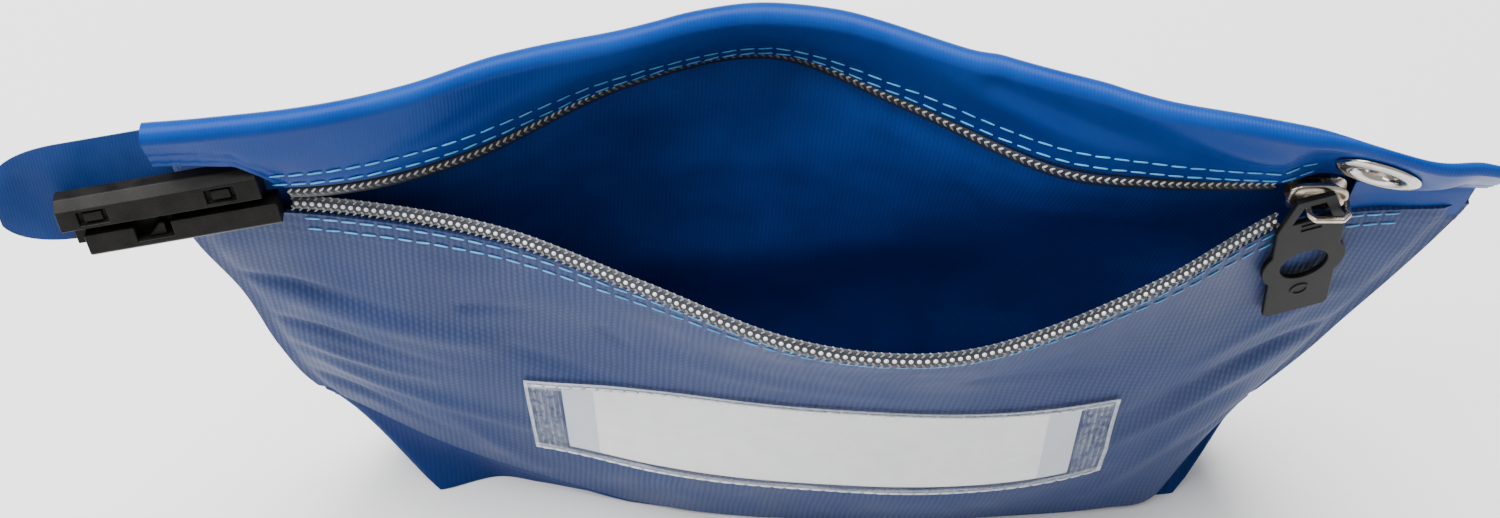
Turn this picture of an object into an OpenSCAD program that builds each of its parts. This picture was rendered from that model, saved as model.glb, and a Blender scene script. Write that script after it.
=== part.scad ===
// Cash deposit bag: a zipped pouch of coated woven fabric that stands on a folded base, with a seal
// housing on the tail of its zip. Origin on the surface it stands on, under the middle of the zip.
// +X runs along the zip towards the eyelet, +Y towards the back, +Z up. The plane Y = 0 holds the closed zip.

/* [Bag] */
// Length of the bag along its top
bag_length = 350; // [330:5:365]
// Height of the zip line above the surface
zip_height = 170; // [160:1:176]
// How far the mouth is pulled open, where 1 is as it stands
mouth_open = 1; // [0.8:0.05:1.1]
// Thickness of the coated fabric
fabric = 0.7; // [0.5:0.1:0.9]
// Height of the folded band above the zip line
band_height = 37; // [34:1:42]

/* [Zip] */
// Length of the zip that opens
zip_length = 290; // [280:2:300]
// Width of one coil, across the teeth
coil_width = 4.2; // [3.6:0.1:4.4]
// Thickness of one coil
coil_thick = 2.6; // [2.2:0.1:2.8]
// Width of one tape
tape_width = 14; // [10:1:16]
// Thickness of one tape
tape_thick = 0.5; // [0.4:0.1:0.6]

/* [Stitching] */
// Distance from one stitch to the next
stitch_pitch = 5; // [4:0.5:6]
// Thickness of the thread
thread = 0.6; // [0.4:0.1:0.7]

/* [Label] */
// Length of the clear window
label_length = 178; // [150:2:184]
// Height of the clear window
label_height = 48; // [40:1:50]
// Length of the card behind it
card_length = 156; // [130:2:160]

/* [Eyelet] */
// Radius of the hole through the eyelet
eyelet_bore = 5.5; // [5:0.1:6]
// Outer radius of its flange
eyelet_flange_r = 11.4; // [10.4:0.2:12]

/* [Slider] */
// Length of the slider along the zip
slider_length = 17; // [15:0.5:18]
// Width of the slider across the zip
slider_width = 11.6; // [10.6:0.2:11.8]
// Length of the puller from its top edge
puller_length = 60; // [56:1:61]
// Width of the puller
puller_width = 19.6; // [19:0.2:20]
// Radius of the round hole in the puller
puller_hole = 6.9; // [6:0.1:7]

/* [Seal housing] */
// Length of the housing along the zip
housing_length = 54.5; // [52:1:60]
// Height of the upper bar
cover_height = 9; // [8:0.5:10]
// Height of the lower bar
base_height = 7; // [6:0.5:8]
// Gap that the puller goes into
housing_slot = 3; // [2.6:0.1:3.4]

/* [Hidden] */
$fn = 48;

fabric_blue = [0.10, 0.24, 0.55];
band_blue = [0.06, 0.26, 0.66];
thread_blue = [0.40, 0.70, 0.92];
coil_grey = [0.62, 0.62, 0.62];
tape_grey = [0.22, 0.22, 0.24];
film_clear = [0.86, 0.90, 0.95, 0.5];
card_white = [0.95, 0.95, 0.93];
nickel = [0.75, 0.73, 0.70];
moulded_black = [0.10, 0.10, 0.10];

kx = bag_length / 350;
eyelet_x = 151.3 * kx;
eyelet_z = zip_height + 20;
eyelet_yaw = -19;
eyelet_lean = 20;
eyelet_opening = 7;
pressed_gap = 1.3;

kz = zip_height / 170;
half_zip = zip_length / 2;
top_z = zip_height + band_height;
lip = 3;
skin_gap = 0.15;
seam_gap = 0.5;
hem_drop = 6.5;
panel_rows = 15;

// ---- plain mathematics ----
function clamp01(t) = min(1, max(0, t));
function smooth(t) = let (c = clamp01(t)) c * c * (3 - 2 * c);
function mix(a, b, t) = a + (b - a) * t;
function unit(v) = v / norm(v);
function span_of(p, x, i = 0) = i >= len(p) - 2 || x < p[i + 1][0] ? i : span_of(p, x, i + 1);
function slope_at(p, i) =
    let (a = max(i - 1, 0), b = min(i + 1, len(p) - 1)) (p[b][1] - p[a][1]) / (p[b][0] - p[a][0]);
// A smooth curve through the points [x, value] of p
function curve(p, x) =
    let (
        i = span_of(p, x),
        h = p[i + 1][0] - p[i][0],
        t = clamp01((x - p[i][0]) / h),
        a = slope_at(p, i) * h,
        b = slope_at(p, i + 1) * h
    )
    (2 * t * t * t - 3 * t * t + 1) * p[i][1] + (t * t * t - 2 * t * t + t) * a
    + (3 * t * t - 2 * t * t * t) * p[i + 1][1] + (t * t * t - t * t) * b;
function steps(a, b, n) = [for (i = [0 : n]) mix(a, b, i / n)];

// ---- the bag's form: s runs from -1 at the left side seam to 1 at the right one ----
left_seam = [[0, -125], [46, -153], [75, -160], [113, -164], [150, -172], [210, -171]];
right_seam = [[0, 133], [45, 150], [72, 159], [94, 165], [121, 173], [147, 180], [168, 184], [190, 183], [210, 178]];
function x_at(s, z) = kx * mix(curve(left_seam, z / kz), curve(right_seam, z / kz), (s + 1) / 2);
function s_at(x, z) =
    let (a = kx * curve(left_seam, z / kz), b = kx * curve(right_seam, z / kz)) 2 * (x - a) / (b - a) - 1;

// How far each level of the front stands forward
front_mouth = [
    [-1, 0], [-0.75, -2], [-0.5, -10.5], [-0.28, -27], [-0.06, -44], [0.12, -49],
    [0.27, -45], [0.5, -27], [0.7, -5.5], [0.8, -1], [1, 0]
];
front_waist = [
    [-1, 0], [-0.75, -12], [-0.5, -18], [-0.25, -22], [0.05, -28],
    [0.3, -29], [0.6, -24], [0.72, -17], [0.85, -8], [1, 0]
];
front_belly = [[-1, 0], [-0.75, -12], [-0.5, -20], [-0.27, -28], [0.15, -35], [0.4, -34], [0.6, -29], [0.85, -16], [1, 0]];
front_foot = [
    [-1, 0], [-0.9, -12], [-0.7, -17], [-0.48, -22], [-0.27, -26],
    [0.2, -30], [0.5, -28], [0.77, -25], [0.9, -20], [1, 0]
];
// How far each level of the back stands back
back_mouth = [
    [-1, 0], [-0.75, -1], [-0.55, 9], [-0.31, 33], [-0.08, 43],
    [0.13, 26], [0.35, 5], [0.5, 1], [0.65, 0.5], [0.8, 1.5], [1, 1]
];
back_waist = [[-1, 0], [-0.75, 12], [-0.4, 22], [0.2, 27], [0.6, 22], [0.85, 11], [1, 0]];
back_belly = [[-1, 0], [-0.75, 13], [-0.4, 26], [0.2, 32], [0.6, 27], [0.85, 14], [1, 0]];
back_foot = [[-1, 0], [-0.9, 12], [-0.7, 18], [-0.3, 26], [0.2, 29], [0.6, 26], [0.9, 19], [1, 0]];
// The fold along the top of the band
fold_line = [
    [-1, -6], [-0.8, -2], [-0.62, 6], [-0.48, 15], [-0.18, 28], [-0.07, 31], [0.05, 28],
    [0.27, 15], [0.56, 0], [0.85, -12], [1, -16]
];
// Where the base meets the surface, front and back
front_floor = [
    [-1, -17], [-0.95, -18], [-0.8, -13], [-0.69, -15], [-0.48, -20],
    [0.2, -27.5], [0.5, -25.5], [0.77, -22.5], [0.96, -19], [1, -18]
];
back_floor = [[-1, 16], [-0.95, 17], [-0.69, 16], [-0.3, 23], [0.2, 26.5], [0.6, 23.5], [0.96, 18], [1, 17]];

function mouth_y(s) = mouth_open * curve(front_mouth, s);
function rear_y(s) = mouth_open * curve(back_mouth, s);
function front_y(s, z) =
    -seam_gap + curve([
        [lip, curve(front_foot, s)], [45 * kz, curve(front_belly, s)],
        [93 * kz, curve(front_waist, s)], [zip_height, mouth_y(s)]
    ], z);
// Round the eyelet the band and the back lie flat and close together
function pressed(x, z, fade = 14) = 1 - smooth((norm([x - eyelet_x, z - eyelet_z]) - 12) / fade);
function leaning_y(s, z) = mix(rear_y(s), curve(fold_line, s), (z - zip_height) / band_height);
eyelet_y = -4.8;
eyelet_normal = [cos(eyelet_lean) * sin(eyelet_yaw), -cos(eyelet_lean) * cos(eyelet_yaw), -sin(eyelet_lean)];
function eyelet_plane_y(x, z) =
    eyelet_y - (eyelet_normal[0] * (x - eyelet_x) + eyelet_normal[2] * (z - eyelet_z)) / eyelet_normal[1];
// The band leans from the rear zip line to the fold
function band_y(s, z) =
    let (x = x_at(s, z)) mix(leaning_y(s, z), eyelet_plane_y(x, z), pressed(x, z));
roll_r = 3;
function layer_gap(s, z) =
    mix(1 + (2 * roll_r - 1) * (1 - pow(max(0, s), 6)), pressed_gap, pressed(x_at(s, z), z));
back_top_z = top_z - 3 * roll_r - 8;

// Stations along the bag that every sheet of it shares, with a cell for the eyelet's hole
eyelet_s = s_at(eyelet_x, eyelet_z);
opening_s = eyelet_opening * 2 / bag_length;
left_stations = concat([-1, -0.985, -0.97, -0.95, -0.925], steps(-0.9, 0.72, 35));
eyelet_cell = len(left_stations) + 1;
stations = concat(
    left_stations,
    [eyelet_s - 1.9 * opening_s, eyelet_s - opening_s, eyelet_s + opening_s, eyelet_s + 1.9 * opening_s],
    [0.945, 0.96, 0.975, 0.985, 1]
);
function hanging_y(s, z) =
    seam_gap + curve([
        [lip, curve(back_foot, s)], [45 * kz, curve(back_belly, s)], [93 * kz, curve(back_waist, s)],
        [zip_height - 16, mix(curve(back_waist, s), rear_y(s), 0.8) + 1],
        [zip_height, rear_y(s) + layer_gap(s, zip_height)],
        [back_top_z, leaning_y(s, back_top_z) + layer_gap(s, back_top_z)]
    ], z);
function back_y(s, z) =
    let (x = x_at(s, z)) mix(hanging_y(s, z), eyelet_plane_y(x, z) + pressed_gap, pressed(x, z, 8));
// The height of the fold between each panel and the base: it climbs to the side seams at both ends
function fold_z(s) = lip + 43 * kz * pow(clamp01((-0.45 - s) / 0.55), 1.2) + 40 * kz * pow(clamp01((s - 0.92) / 0.08), 1.1);
floor_half = fabric / 2;
function floor_z(s) =
    floor_half + 42 * kz * clamp01((-0.95 - s) / 0.05) + 40 * kz * clamp01((s - 0.96) / 0.04);

function front_point(s, z) = [x_at(s, z), front_y(s, z), z];
function back_point(s, z) = [x_at(s, z), back_y(s, z), z];
// A place on the front panel by its x, standing off the fabric by out
function on_front(x, z, out = 0) =
    let (
        s = s_at(x, z),
        p = front_point(s, z),
        along = front_point(s + 0.01, z) - p,
        up = front_point(s, z + 1) - p
    )
    p + unit(cross(along, up)) * out;
function band_point(s, z) = [x_at(s, z), band_y(s, z), z];
function on_band(x, z, out = 0) =
    let (s = s_at(x, z), p = band_point(s, z), along = band_point(s + 0.01, z) - p, up = band_point(s, z + 1) - p)
    p + unit(cross(along, up)) * out;

// ---- solids ----
// A closed sheet of even thickness through a grid of points. holes lists the cells [row, column] left out.
module sheet(grid, thick, holes = []) {
    n = len(grid);
    m = len(grid[0]);
    function lift(i, j) =
        unit(cross(
            grid[min(i + 1, n - 1)][j] - grid[max(i - 1, 0)][j],
            grid[i][min(j + 1, m - 1)] - grid[i][max(j - 1, 0)]
        )) * thick / 2;
    function there(i, j) =
        i >= 0 && i < n - 1 && j >= 0 && j < m - 1
        && len([for (h = holes) if (h == [i, j]) h]) == 0;
    function wall(a, b) = [[a, b, b + n * m], [a, b + n * m, a + n * m]];
    upper = [for (i = [0 : n - 1]) for (j = [0 : m - 1]) grid[i][j] + lift(i, j)];
    lower = [for (i = [0 : n - 1]) for (j = [0 : m - 1]) grid[i][j] - lift(i, j)];
    faces = [
        for (i = [0 : n - 2]) for (j = [0 : m - 2]) if (there(i, j))
            let (a = i * m + j, b = a + 1, c = a + m + 1, d = a + m, o = n * m)
            each concat(
                [[a, b, c], [a, c, d], [a + o, c + o, b + o], [a + o, d + o, c + o]],
                there(i - 1, j) ? [] : wall(b, a),
                there(i + 1, j) ? [] : wall(d, c),
                there(i, j - 1) ? [] : wall(a, d),
                there(i, j + 1) ? [] : wall(c, b)
            )
    ];
    polyhedron(concat(upper, lower), faces, convexity = 8);
}

// A closed tube with an oval section, through points that keep one height
module oval_tube(path, across, tall, sides = 8) {
    n = len(path);
    function heading(i) = unit(path[min(i + 1, n - 1)] - path[max(i - 1, 0)]);
    points = [
        for (i = [0 : n - 1]) for (k = [0 : sides - 1])
            let (h = heading(i), a = 360 * k / sides)
            path[i] + [-h[1], h[0], 0] * across / 2 * cos(a) + [0, 0, 1] * tall / 2 * sin(a)
    ];
    faces = concat(
        [[for (k = [0 : sides - 1]) k]],
        [[for (k = [0 : sides - 1]) n * sides - 1 - k]],
        [
            for (i = [0 : n - 2]) for (k = [0 : sides - 1])
                let (a = i * sides + k, b = i * sides + (k + 1) % sides)
                each [[a, a + sides, b + sides], [a, b + sides, b]]
        ]
    );
    polyhedron(points, faces, convexity = 8);
}

// One stitch from a towards b, with the needle holes left clear at both ends
module stitch(a, b) {
    d = b - a;
    translate((a + b) / 2)
        rotate([0, -asin(d[2] / norm(d)), atan2(d[1], d[0])])
            cube([norm(d) * 0.7, thread, thread], center = true);
}

// ---- the fabric shell ----
module front_panel() {
    grid = [
        for (s = stations)
            [for (z = steps(fold_z(s) + skin_gap, zip_height - hem_drop, panel_rows)) front_point(s, z)]
    ];
    color(fabric_blue) sheet(grid, fabric);
}

module back_panel() {
    low_edge = eyelet_z - eyelet_opening;
    grid = [
        for (s = stations)
            concat([for (z = steps(fold_z(s) + skin_gap, low_edge, panel_rows)) back_point(s, z)], [back_point(s, back_top_z)])
    ];
    color(fabric_blue) sheet(grid, fabric, [[eyelet_cell, panel_rows]]);
}

// The base folds up at its edges to meet both panels, and climbs to the side seams at its ends
module base_gusset() {
    function row(s) =
        let (
            zf = fold_z(s) - 0.5 - fabric,
            zb = floor_z(s),
            xf = x_at(s, zf),
            xb = x_at(s, zb),
            yf = front_y(s, zf + fabric),
            yr = back_y(s, zf + fabric),
            cf = mix(curve(front_floor, s), yf + 1, clamp01((zb - floor_half) / 30)),
            cr = mix(curve(back_floor, s), yr - 1, clamp01((zb - floor_half) / 30))
        )
        concat(
            [[xf, yf, max(zf, zb + 0.5)], [mix(xf, xb, 0.6), mix(yf, cf, 0.6), mix(max(zf, zb + 0.5), zb, 0.6)]],
            [for (t = steps(0, 1, 6)) [xb, mix(cf, cr, t), zb]],
            [[mix(xf, xb, 0.6), mix(yr, cr, 0.6), mix(max(zf, zb + 0.5), zb, 0.6)], [xf, yr, max(zf, zb + 0.5)]]
        );
    color(fabric_blue) sheet([for (s = stations) if (abs(s) < 0.98) row(s)], fabric);
}

// The band above the zip: up the front, over a soft roll and a little way down the back
module top_band() {
    low_edge = eyelet_z - eyelet_opening;
    high_edge = eyelet_z + eyelet_opening;
    function hem_z(s) = zip_height + hem_drop + 13.5 * clamp01((-0.82 - s) / 0.06);
    function line(s) =
        let (
            hem = hem_z(s),
            zc = top_z - roll_r - 3 * pow(clamp01((s - 0.6) / 0.4), 2),
            r = layer_gap(s, zc) / 2,
            yc = band_y(s, zc) + r
        )
        concat(
            [
                for (z = [hem, max(low_edge, hem + 2), max(eyelet_z, hem + 3), max(high_edge, hem + 5), zc])
                    [x_at(s, z), band_y(s, z), z]
            ],
            [for (a = [150, 120, 90, 60, 30]) [x_at(s, zc), yc + r * cos(a), zc + roll_r * sin(a)]],
            [for (z = [zc, high_edge, back_top_z + skin_gap]) [x_at(s, z), band_y(s, z) + layer_gap(s, z), z]]
        );
    color(band_blue) sheet([for (s = stations) line(s)], fabric, [[eyelet_cell, 1], [eyelet_cell, 2], [eyelet_cell, 11]]);
}

// A loose tongue of the same fabric beyond the left side seam, which carries the seal housing
module tail_tab() {
    function outline(x) = sqrt(max(0, 1 - pow(clamp01((-50 - x) / 22.5), 2.4)));
    color(band_blue) at_housing()
        sheet([
            for (x = steps(-72, -32, 14))
                [for (t = steps(0, 1, 6)) [x, 2.4 + 2.5 * pow(t, 3), 7 + mix(-14, 15, t) * (0.25 + 0.75 * outline(x))]]
        ], fabric);
}

module zip_end_patch() {
    color(band_blue)
        sheet([
            for (x = steps(slider_x + slider_length / 2 + 1.2, 173 * kx, 8))
                [for (z = steps(zip_height - 12, zip_height + 5.5, 4)) [x, front_y(s_at(x, z), z) + 0.7, z]]
        ], 0.5);
}

// ---- the zip ----
slider_x = 140;
slider_clear = slider_length / 2 + 1.5;
open_end = slider_x - slider_clear;
closed_start = slider_x + slider_clear;
coil_z = coil_width / 2 + 0.1;
tape_inset = 0.95;
function zip_path(front, z) = [
    for (x = steps(-half_zip + 5, open_end, 56))
        let (s = s_at(x, zip_height)) [x, front ? mouth_y(s) - seam_gap : rear_y(s) + seam_gap, z]
];
closed_y = 1.5;
function closed_path(z) = [for (d = [0, 2.5, 5]) [closed_start + d, closed_y, z]];

module zip_coil(front) {
    z = zip_height + (front ? -coil_z : coil_z);
    oval_tube(zip_path(front, z), coil_thick, coil_width);
    oval_tube(closed_path(z), coil_thick, coil_width);
}

module zip_coil_front() {
    color(coil_grey) zip_coil(true);
}

module zip_coil_rear() {
    color(coil_grey) zip_coil(false);
}

// The tape runs from the coil under the hem, on the inner side of the fabric
module zip_tape_front() {
    start = zip_height - 2 * coil_z - 0.2;
    color(tape_grey)
        sheet([
            for (x = steps(-half_zip + 6, open_end, 44))
                [for (z = [start, start - 3, start - 7, start - tape_width]) on_front(x, z, -tape_inset)]
        ], tape_thick);
}

module zip_tape_rear() {
    start = zip_height + 2 * coil_z + 0.2;
    color(tape_grey)
        sheet([
            for (x = steps(-half_zip + 6, open_end - 4, 44))
                [for (z = [start, start + 3, start + 6, start + tape_width]) on_band(x, z, -tape_inset - 0.1)]
        ], tape_thick);
}

module zip_bottom_stop() {
    color(nickel)
        translate([closed_start + 6, closed_y, zip_height])
            cube([2, coil_thick - 0.8, 1.9 * coil_width], center = true);
}

// ---- stitching ----
hem_rows = [1.8, 6.6];
thread_out = fabric / 2 + thread / 2 + 0.4;
module front_hem_thread() {
    color(thread_blue)
        for (row = hem_rows)
            let (
                z = zip_height - hem_drop - row,
                first = 8 - half_zip,
                last = 165 * kx,
                xs = steps(first, last, floor((last - first) / stitch_pitch))
            )
                for (i = [0 : len(xs) - 2])
                    stitch(on_front(xs[i], z, thread_out), on_front(xs[i + 1], z, thread_out));
}

module band_hem_thread() {
    color(thread_blue)
        for (row = hem_rows)
            let (
                z = zip_height + hem_drop + row,
                first = 2 - half_zip,
                last = 138 * kx,
                xs = steps(first, last, floor((last - first) / stitch_pitch))
            )
                for (i = [0 : len(xs) - 2])
                    stitch(on_band(xs[i], z, thread_out), on_band(xs[i + 1], z, thread_out));
}

module side_seam_thread() {
    zs = steps(52 * kz, 156 * kz, 22);
    color(thread_blue)
        for (side = [-1, 1])
            for (i = [0 : len(zs) - 2])
                let (s = side * 0.965)
                    stitch(
                        (front_point(s, zs[i]) + back_point(s, zs[i])) / 2,
                        (front_point(s, zs[i + 1]) + back_point(s, zs[i + 1])) / 2
                    );
}

// ---- the label window ----
label_mid = 7 * kx;
label_low = 44 * kz;
film = 0.3;
card = 0.3;
function label_grid(length, low, high, out) = [
    for (x = steps(label_mid - length / 2, label_mid + length / 2, 30))
        [for (z = steps(low, high, 4)) on_front(x, z, out)]
];
card_out = fabric / 2 + 0.35 + card / 2;
film_out = card_out + card / 2 + 0.3 + film / 2;

module label_card() {
    color(card_white) sheet(label_grid(card_length, label_low + 4, label_low + label_height - 4, card_out), card);
}

module label_window() {
    color(film_clear) sheet(label_grid(label_length, label_low, label_low + label_height, film_out), film);
}

module label_thread() {
    out = film_out + film / 2 + thread / 2 + 0.25;
    xs = steps(label_mid - label_length / 2 + 2, label_mid + label_length / 2 - 2, floor(label_length / 4));
    color(card_white)
        for (z = [label_low + 2, label_low + label_height - 2])
            for (i = [0 : len(xs) - 2])
                stitch(on_front(xs[i], z, out), on_front(xs[i + 1], z, out));
}

// ---- the eyelet ----
eyelet_wall = 0.6;
washer_z = -pressed_gap - fabric / 2 - 0.3;
eyelet_depth = 1 - washer_z;
module at_eyelet() {
    translate([eyelet_x, eyelet_y, eyelet_z])
        rotate([0, 0, eyelet_yaw]) rotate([eyelet_lean, 0, 0]) rotate([90, 0, 0])
            children();
}

// The flange is a curled ring on the front, with the barrel through the fabric
module eyelet_flange() {
    out = fabric / 2 + 0.35;
    color(nickel) at_eyelet()
        rotate_extrude()
            polygon([
                [eyelet_bore, -eyelet_depth], [eyelet_bore + eyelet_wall, -eyelet_depth],
                [eyelet_bore + eyelet_wall, out + 0.3], [eyelet_flange_r - 1.2, out], [eyelet_flange_r, out],
                [eyelet_flange_r, out + 0.5], [eyelet_flange_r - 1.6, out + 1.5],
                [eyelet_bore + 1.2, out + 1.5], [eyelet_bore, out + 0.4]
            ]);
}

module eyelet_washer() {
    color(nickel) at_eyelet()
        translate([0, 0, washer_z])
            rotate_extrude()
                polygon([
                    [eyelet_bore + eyelet_wall + 0.05, -0.7], [eyelet_flange_r - 0.5, -0.5],
                    [eyelet_flange_r - 0.5, 0], [eyelet_bore + eyelet_wall + 0.05, -0.1]
                ]);
}

// ---- the seal housing: local x runs back from its zip end, local z is up its face ----
housing_yaw = 9;
housing_droop = -4;
housing_lean = -25;
module at_housing() {
    translate([-half_zip - 0.6, -0.5, zip_height + 3])
        rotate([0, housing_droop, housing_yaw]) rotate([housing_lean, 0, 0])
            children();
}

// A bar with the section given in [depth, height], from x = a back to x = b
module bar(section, a, b) {
    translate([b, 0, 0]) rotate([90, 0, 90]) linear_extrude(a - b) polygon(section);
}

bar_depth = 7;
plate = 1.6;
window_w = 8;
window_h = 4.6;
window_x = [-6.5, -housing_length + 5.5 + window_w];
// The upper bar has two recesses, each with a catch in it
module housing_cover() {
    low = housing_slot / 2;
    color(moulded_black) at_housing() {
        difference() {
            bar([
                [-bar_depth, low], [-bar_depth, low + cover_height - 2.6], [-bar_depth + 2.6, low + cover_height],
                [-0.2, low + cover_height], [-0.2, low + 1.2], [-1.4, low]
            ], 0, -housing_length);
            for (x = window_x)
                translate([x - window_w, -bar_depth - 1, low + 1])
                    cube([window_w, 2.6, window_h]);
        }
        for (x = window_x)
            translate([x - window_w + 1.4, -bar_depth + 0.6, low + 1.8])
                cube([window_w - 2.8, 1.1, window_h - 1.6]);
    }
}

// The lower bar and the back plate are one moulding, with a notch in the bar for the seal
module housing_base() {
    low = -housing_slot / 2 - base_height;
    color(moulded_black) at_housing() {
        difference() {
            union() {
                bar([
                    [-bar_depth + 1, low + 1], [-bar_depth + 1, -housing_slot / 2], [plate, -housing_slot / 2],
                    [plate, low], [-bar_depth + 2, low]
                ], 3, -housing_length + 5);
                bar([[0, low + 1], [0, cover_height], [plate, cover_height], [plate, low + 1]], 0, -housing_length + 1);
            }
            translate([-36, -bar_depth, low + 2.4]) cube([10, bar_depth - 1.5, base_height]);
        }
    }
}

// A sprung wedge in the notch holds the seal once it is pushed home
module housing_latch() {
    low = -housing_slot / 2 - base_height;
    color(moulded_black) at_housing()
        translate([-33, -bar_depth + 2.4, low + 2.6])
            rotate([-90, 0, 0]) mirror([0, 1, 0])
                linear_extrude(2.4) polygon([[0, 0], [5, 0], [5, 3.8], [3.6, 3.8]]);
}

// ---- the slider and its puller ----
plate_gap = coil_thick / 2 + 0.4;
slider_plate = 1.2;
module slider_plate_outline() {
    w = slider_width / 2;
    l = slider_length / 2;
    polygon([
        [-l, -w + 2.5], [-l + 2.5, -w], [0, -w], [l, -w + 2.4],
        [l, w - 2.4], [0, w], [-l + 2.5, w], [-l, w - 2.5]
    ]);
}

slider_tilt = -6;
module at_slider() {
    translate([slider_x, 0, zip_height]) rotate([slider_tilt, 0, 0]) children();
}

// Two plates joined by a post between the coils, with flanges that keep the coils in
module slider_body() {
    w = slider_width / 2;
    l = slider_length / 2;
    color(nickel) at_slider() rotate([90, 0, 0]) {
        for (z = [plate_gap, -plate_gap - slider_plate])
            translate([0, 0, z]) linear_extrude(slider_plate) slider_plate_outline();
        translate([-l + 3, 0, -plate_gap - 0.01]) cylinder(h = 2 * plate_gap + 0.02, r = 1.4);
        for (side = [-1, 1])
            translate([l - 8, side * (w - 1.6) - 0.5, plate_gap - 0.8]) cube([5.5, 1, 0.9]);
    }
}

// The bail is an arch over the front plate. Its left arm goes through the puller's slot.
bail_wire = 1.7;
bail_reach = 9.9;
bail_left = -4;
bail_right = 8.5;
bail_foot = plate_gap + slider_plate;
module slider_bail() {
    inner = bail_reach - bail_wire;
    color(nickel) at_slider()
        translate([0, 0, -bail_wire / 2]) linear_extrude(bail_wire)
            difference() {
                polygon([
                    [bail_left, -bail_foot - 0.02], [bail_right, -bail_foot - 0.02], [bail_right, 2.2 - bail_reach],
                    [bail_right - 2.2, -bail_reach], [bail_left + 2.2, -bail_reach], [bail_left, 2.2 - bail_reach]
                ]);
                polygon([
                    [bail_left + bail_wire, 1], [bail_right - bail_wire, 1],
                    [bail_right - bail_wire, 1.2 - inner], [bail_right - bail_wire - 1.2, -inner],
                    [bail_left + bail_wire + 1.2, -inner], [bail_left + bail_wire, 1.2 - inner]
                ]);
            }
}

// The puller is a flat tag. The bail's left arm is through its slot and the right arm passes beside it.
puller_thick = 1.6;
slot_side = 3.4;
module puller_tag() {
    half = puller_width / 2;
    top = 34;
    shoulder = 20;
    low = top - puller_length;
    color(moulded_black)
        translate([140.6, -9.7, 146.5]) rotate([0, 0, 13]) rotate([-4.3, 0, 0]) rotate([0, -5.4, 0])
            translate([0, puller_thick, 0]) rotate([90, 0, 0]) difference() {
                union() {
                    linear_extrude(puller_thick) polygon([
                        [-5.2, top], [5.2, top], [half, shoulder], [half, low + 1.5], [half - 1.5, low],
                        [-half + 1.5, low], [-half, low + 1.5], [-half, shoulder]
                    ]);
                    cylinder(h = puller_thick, r = half + 2.4);
                }
                translate([0, 0, -1]) linear_extrude(puller_thick + 2) polygon([
                    [-6.3 + slot_side, top - 3.2], [6.3 - slot_side, top - 3.2],
                    [half - slot_side - 0.9, top - 10.6], [-half + slot_side + 0.9, top - 10.6]
                ]);
                translate([0, 0, -1]) cylinder(h = puller_thick + 2, r = puller_hole);
            }
}

front_panel();
back_panel();
base_gusset();
top_band();
tail_tab();
zip_end_patch();
zip_tape_front();
zip_tape_rear();
zip_coil_front();
zip_coil_rear();
zip_bottom_stop();
front_hem_thread();
band_hem_thread();
side_seam_thread();
label_window();
label_card();
label_thread();
eyelet_flange();
eyelet_washer();
housing_base();
housing_cover();
housing_latch();
slider_body();
slider_bail();
puller_tag();
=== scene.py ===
import math

import bmesh
import bpy
import numpy as np
from mathutils import Matrix, Vector


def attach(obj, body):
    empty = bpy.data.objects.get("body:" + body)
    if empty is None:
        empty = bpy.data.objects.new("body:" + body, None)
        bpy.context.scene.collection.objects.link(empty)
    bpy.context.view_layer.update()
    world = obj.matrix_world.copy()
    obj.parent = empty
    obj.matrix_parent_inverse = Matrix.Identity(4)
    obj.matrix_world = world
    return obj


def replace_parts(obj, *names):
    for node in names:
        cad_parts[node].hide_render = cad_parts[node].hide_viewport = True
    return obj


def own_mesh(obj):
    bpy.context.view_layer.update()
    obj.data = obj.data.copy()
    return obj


bl_info = {
    "name": "Cash deposit bag",
    "version": (1, 0, 0),
    "blender": (4, 5, 0),
    "location": "View3D > Sidebar > Bag",
    "description": "Builds a zipped cash deposit bag with a seal housing around its packed frame",
    "category": "Object",
}

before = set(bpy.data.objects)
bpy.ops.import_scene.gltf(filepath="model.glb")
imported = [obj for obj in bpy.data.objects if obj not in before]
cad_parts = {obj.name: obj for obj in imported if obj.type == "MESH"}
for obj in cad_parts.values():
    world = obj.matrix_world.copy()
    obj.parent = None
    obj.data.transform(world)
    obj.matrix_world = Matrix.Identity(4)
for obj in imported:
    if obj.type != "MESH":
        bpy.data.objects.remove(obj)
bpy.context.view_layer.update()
MM = 0.001

# ---- the bag's form, in millimetres: s runs from -1 at the left side seam to 1 at the right one ----
FABRIC, TAPE, PATCH, CARD, FILM = 0.7, 0.5, 0.5, 0.3, 0.3
ZIP_Z = 170.0
HALF_ZIP = 145.0
COIL_END_X = 130.0
SLIDER_X = 140.0
BAND_HEIGHT = 37.0
TOP_Z = ZIP_Z + BAND_HEIGHT
ROLL_R = 3.0
BACK_TOP_Z = TOP_Z - 3 * ROLL_R - 8
LIP = 3.0
BELLY_Z, WAIST_Z, NECK_Z = 45.0, 93.0, ZIP_Z - 16
SEAM_GAP = 0.5
PANEL_GAP = 0.15
# How far the panels' lower edges and the floor of the base climb towards the left and right seams.
EDGE_CLIMB, FLOOR_CLIMB = (43, 40), (42, 40)
# The housing and the slider: where their own axes stand and how they turn, in degrees.
HOUSING_AT, HOUSING_YAW, HOUSING_TIP, HOUSING_ROLL = (-HALF_ZIP - 0.6, -0.5, ZIP_Z + 3), 9, -4, -25
SLIDER_ROLL = -6
PULLER_AT, PULLER_YAW, PULLER_ROLL, PULLER_TIP = (140.6, -9.7, 146.5), 13, -4.3, -5.4
# The hems stop this far below and above the zip's middle, and have two rows of stitches.
HEM_DROP = 6.5
HEM_ROWS = (1.8, 6.6)
# The eyelet, the flat pad of cloth round it and how far apart the layers lie there.
EYELET = np.array([151.3, -4.8, 190.0])
EYELET_YAW, EYELET_LEAN = -19.0, 20.0
EYELET_PAD, PRESSED_GAP = 12.0, 1.3
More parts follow.
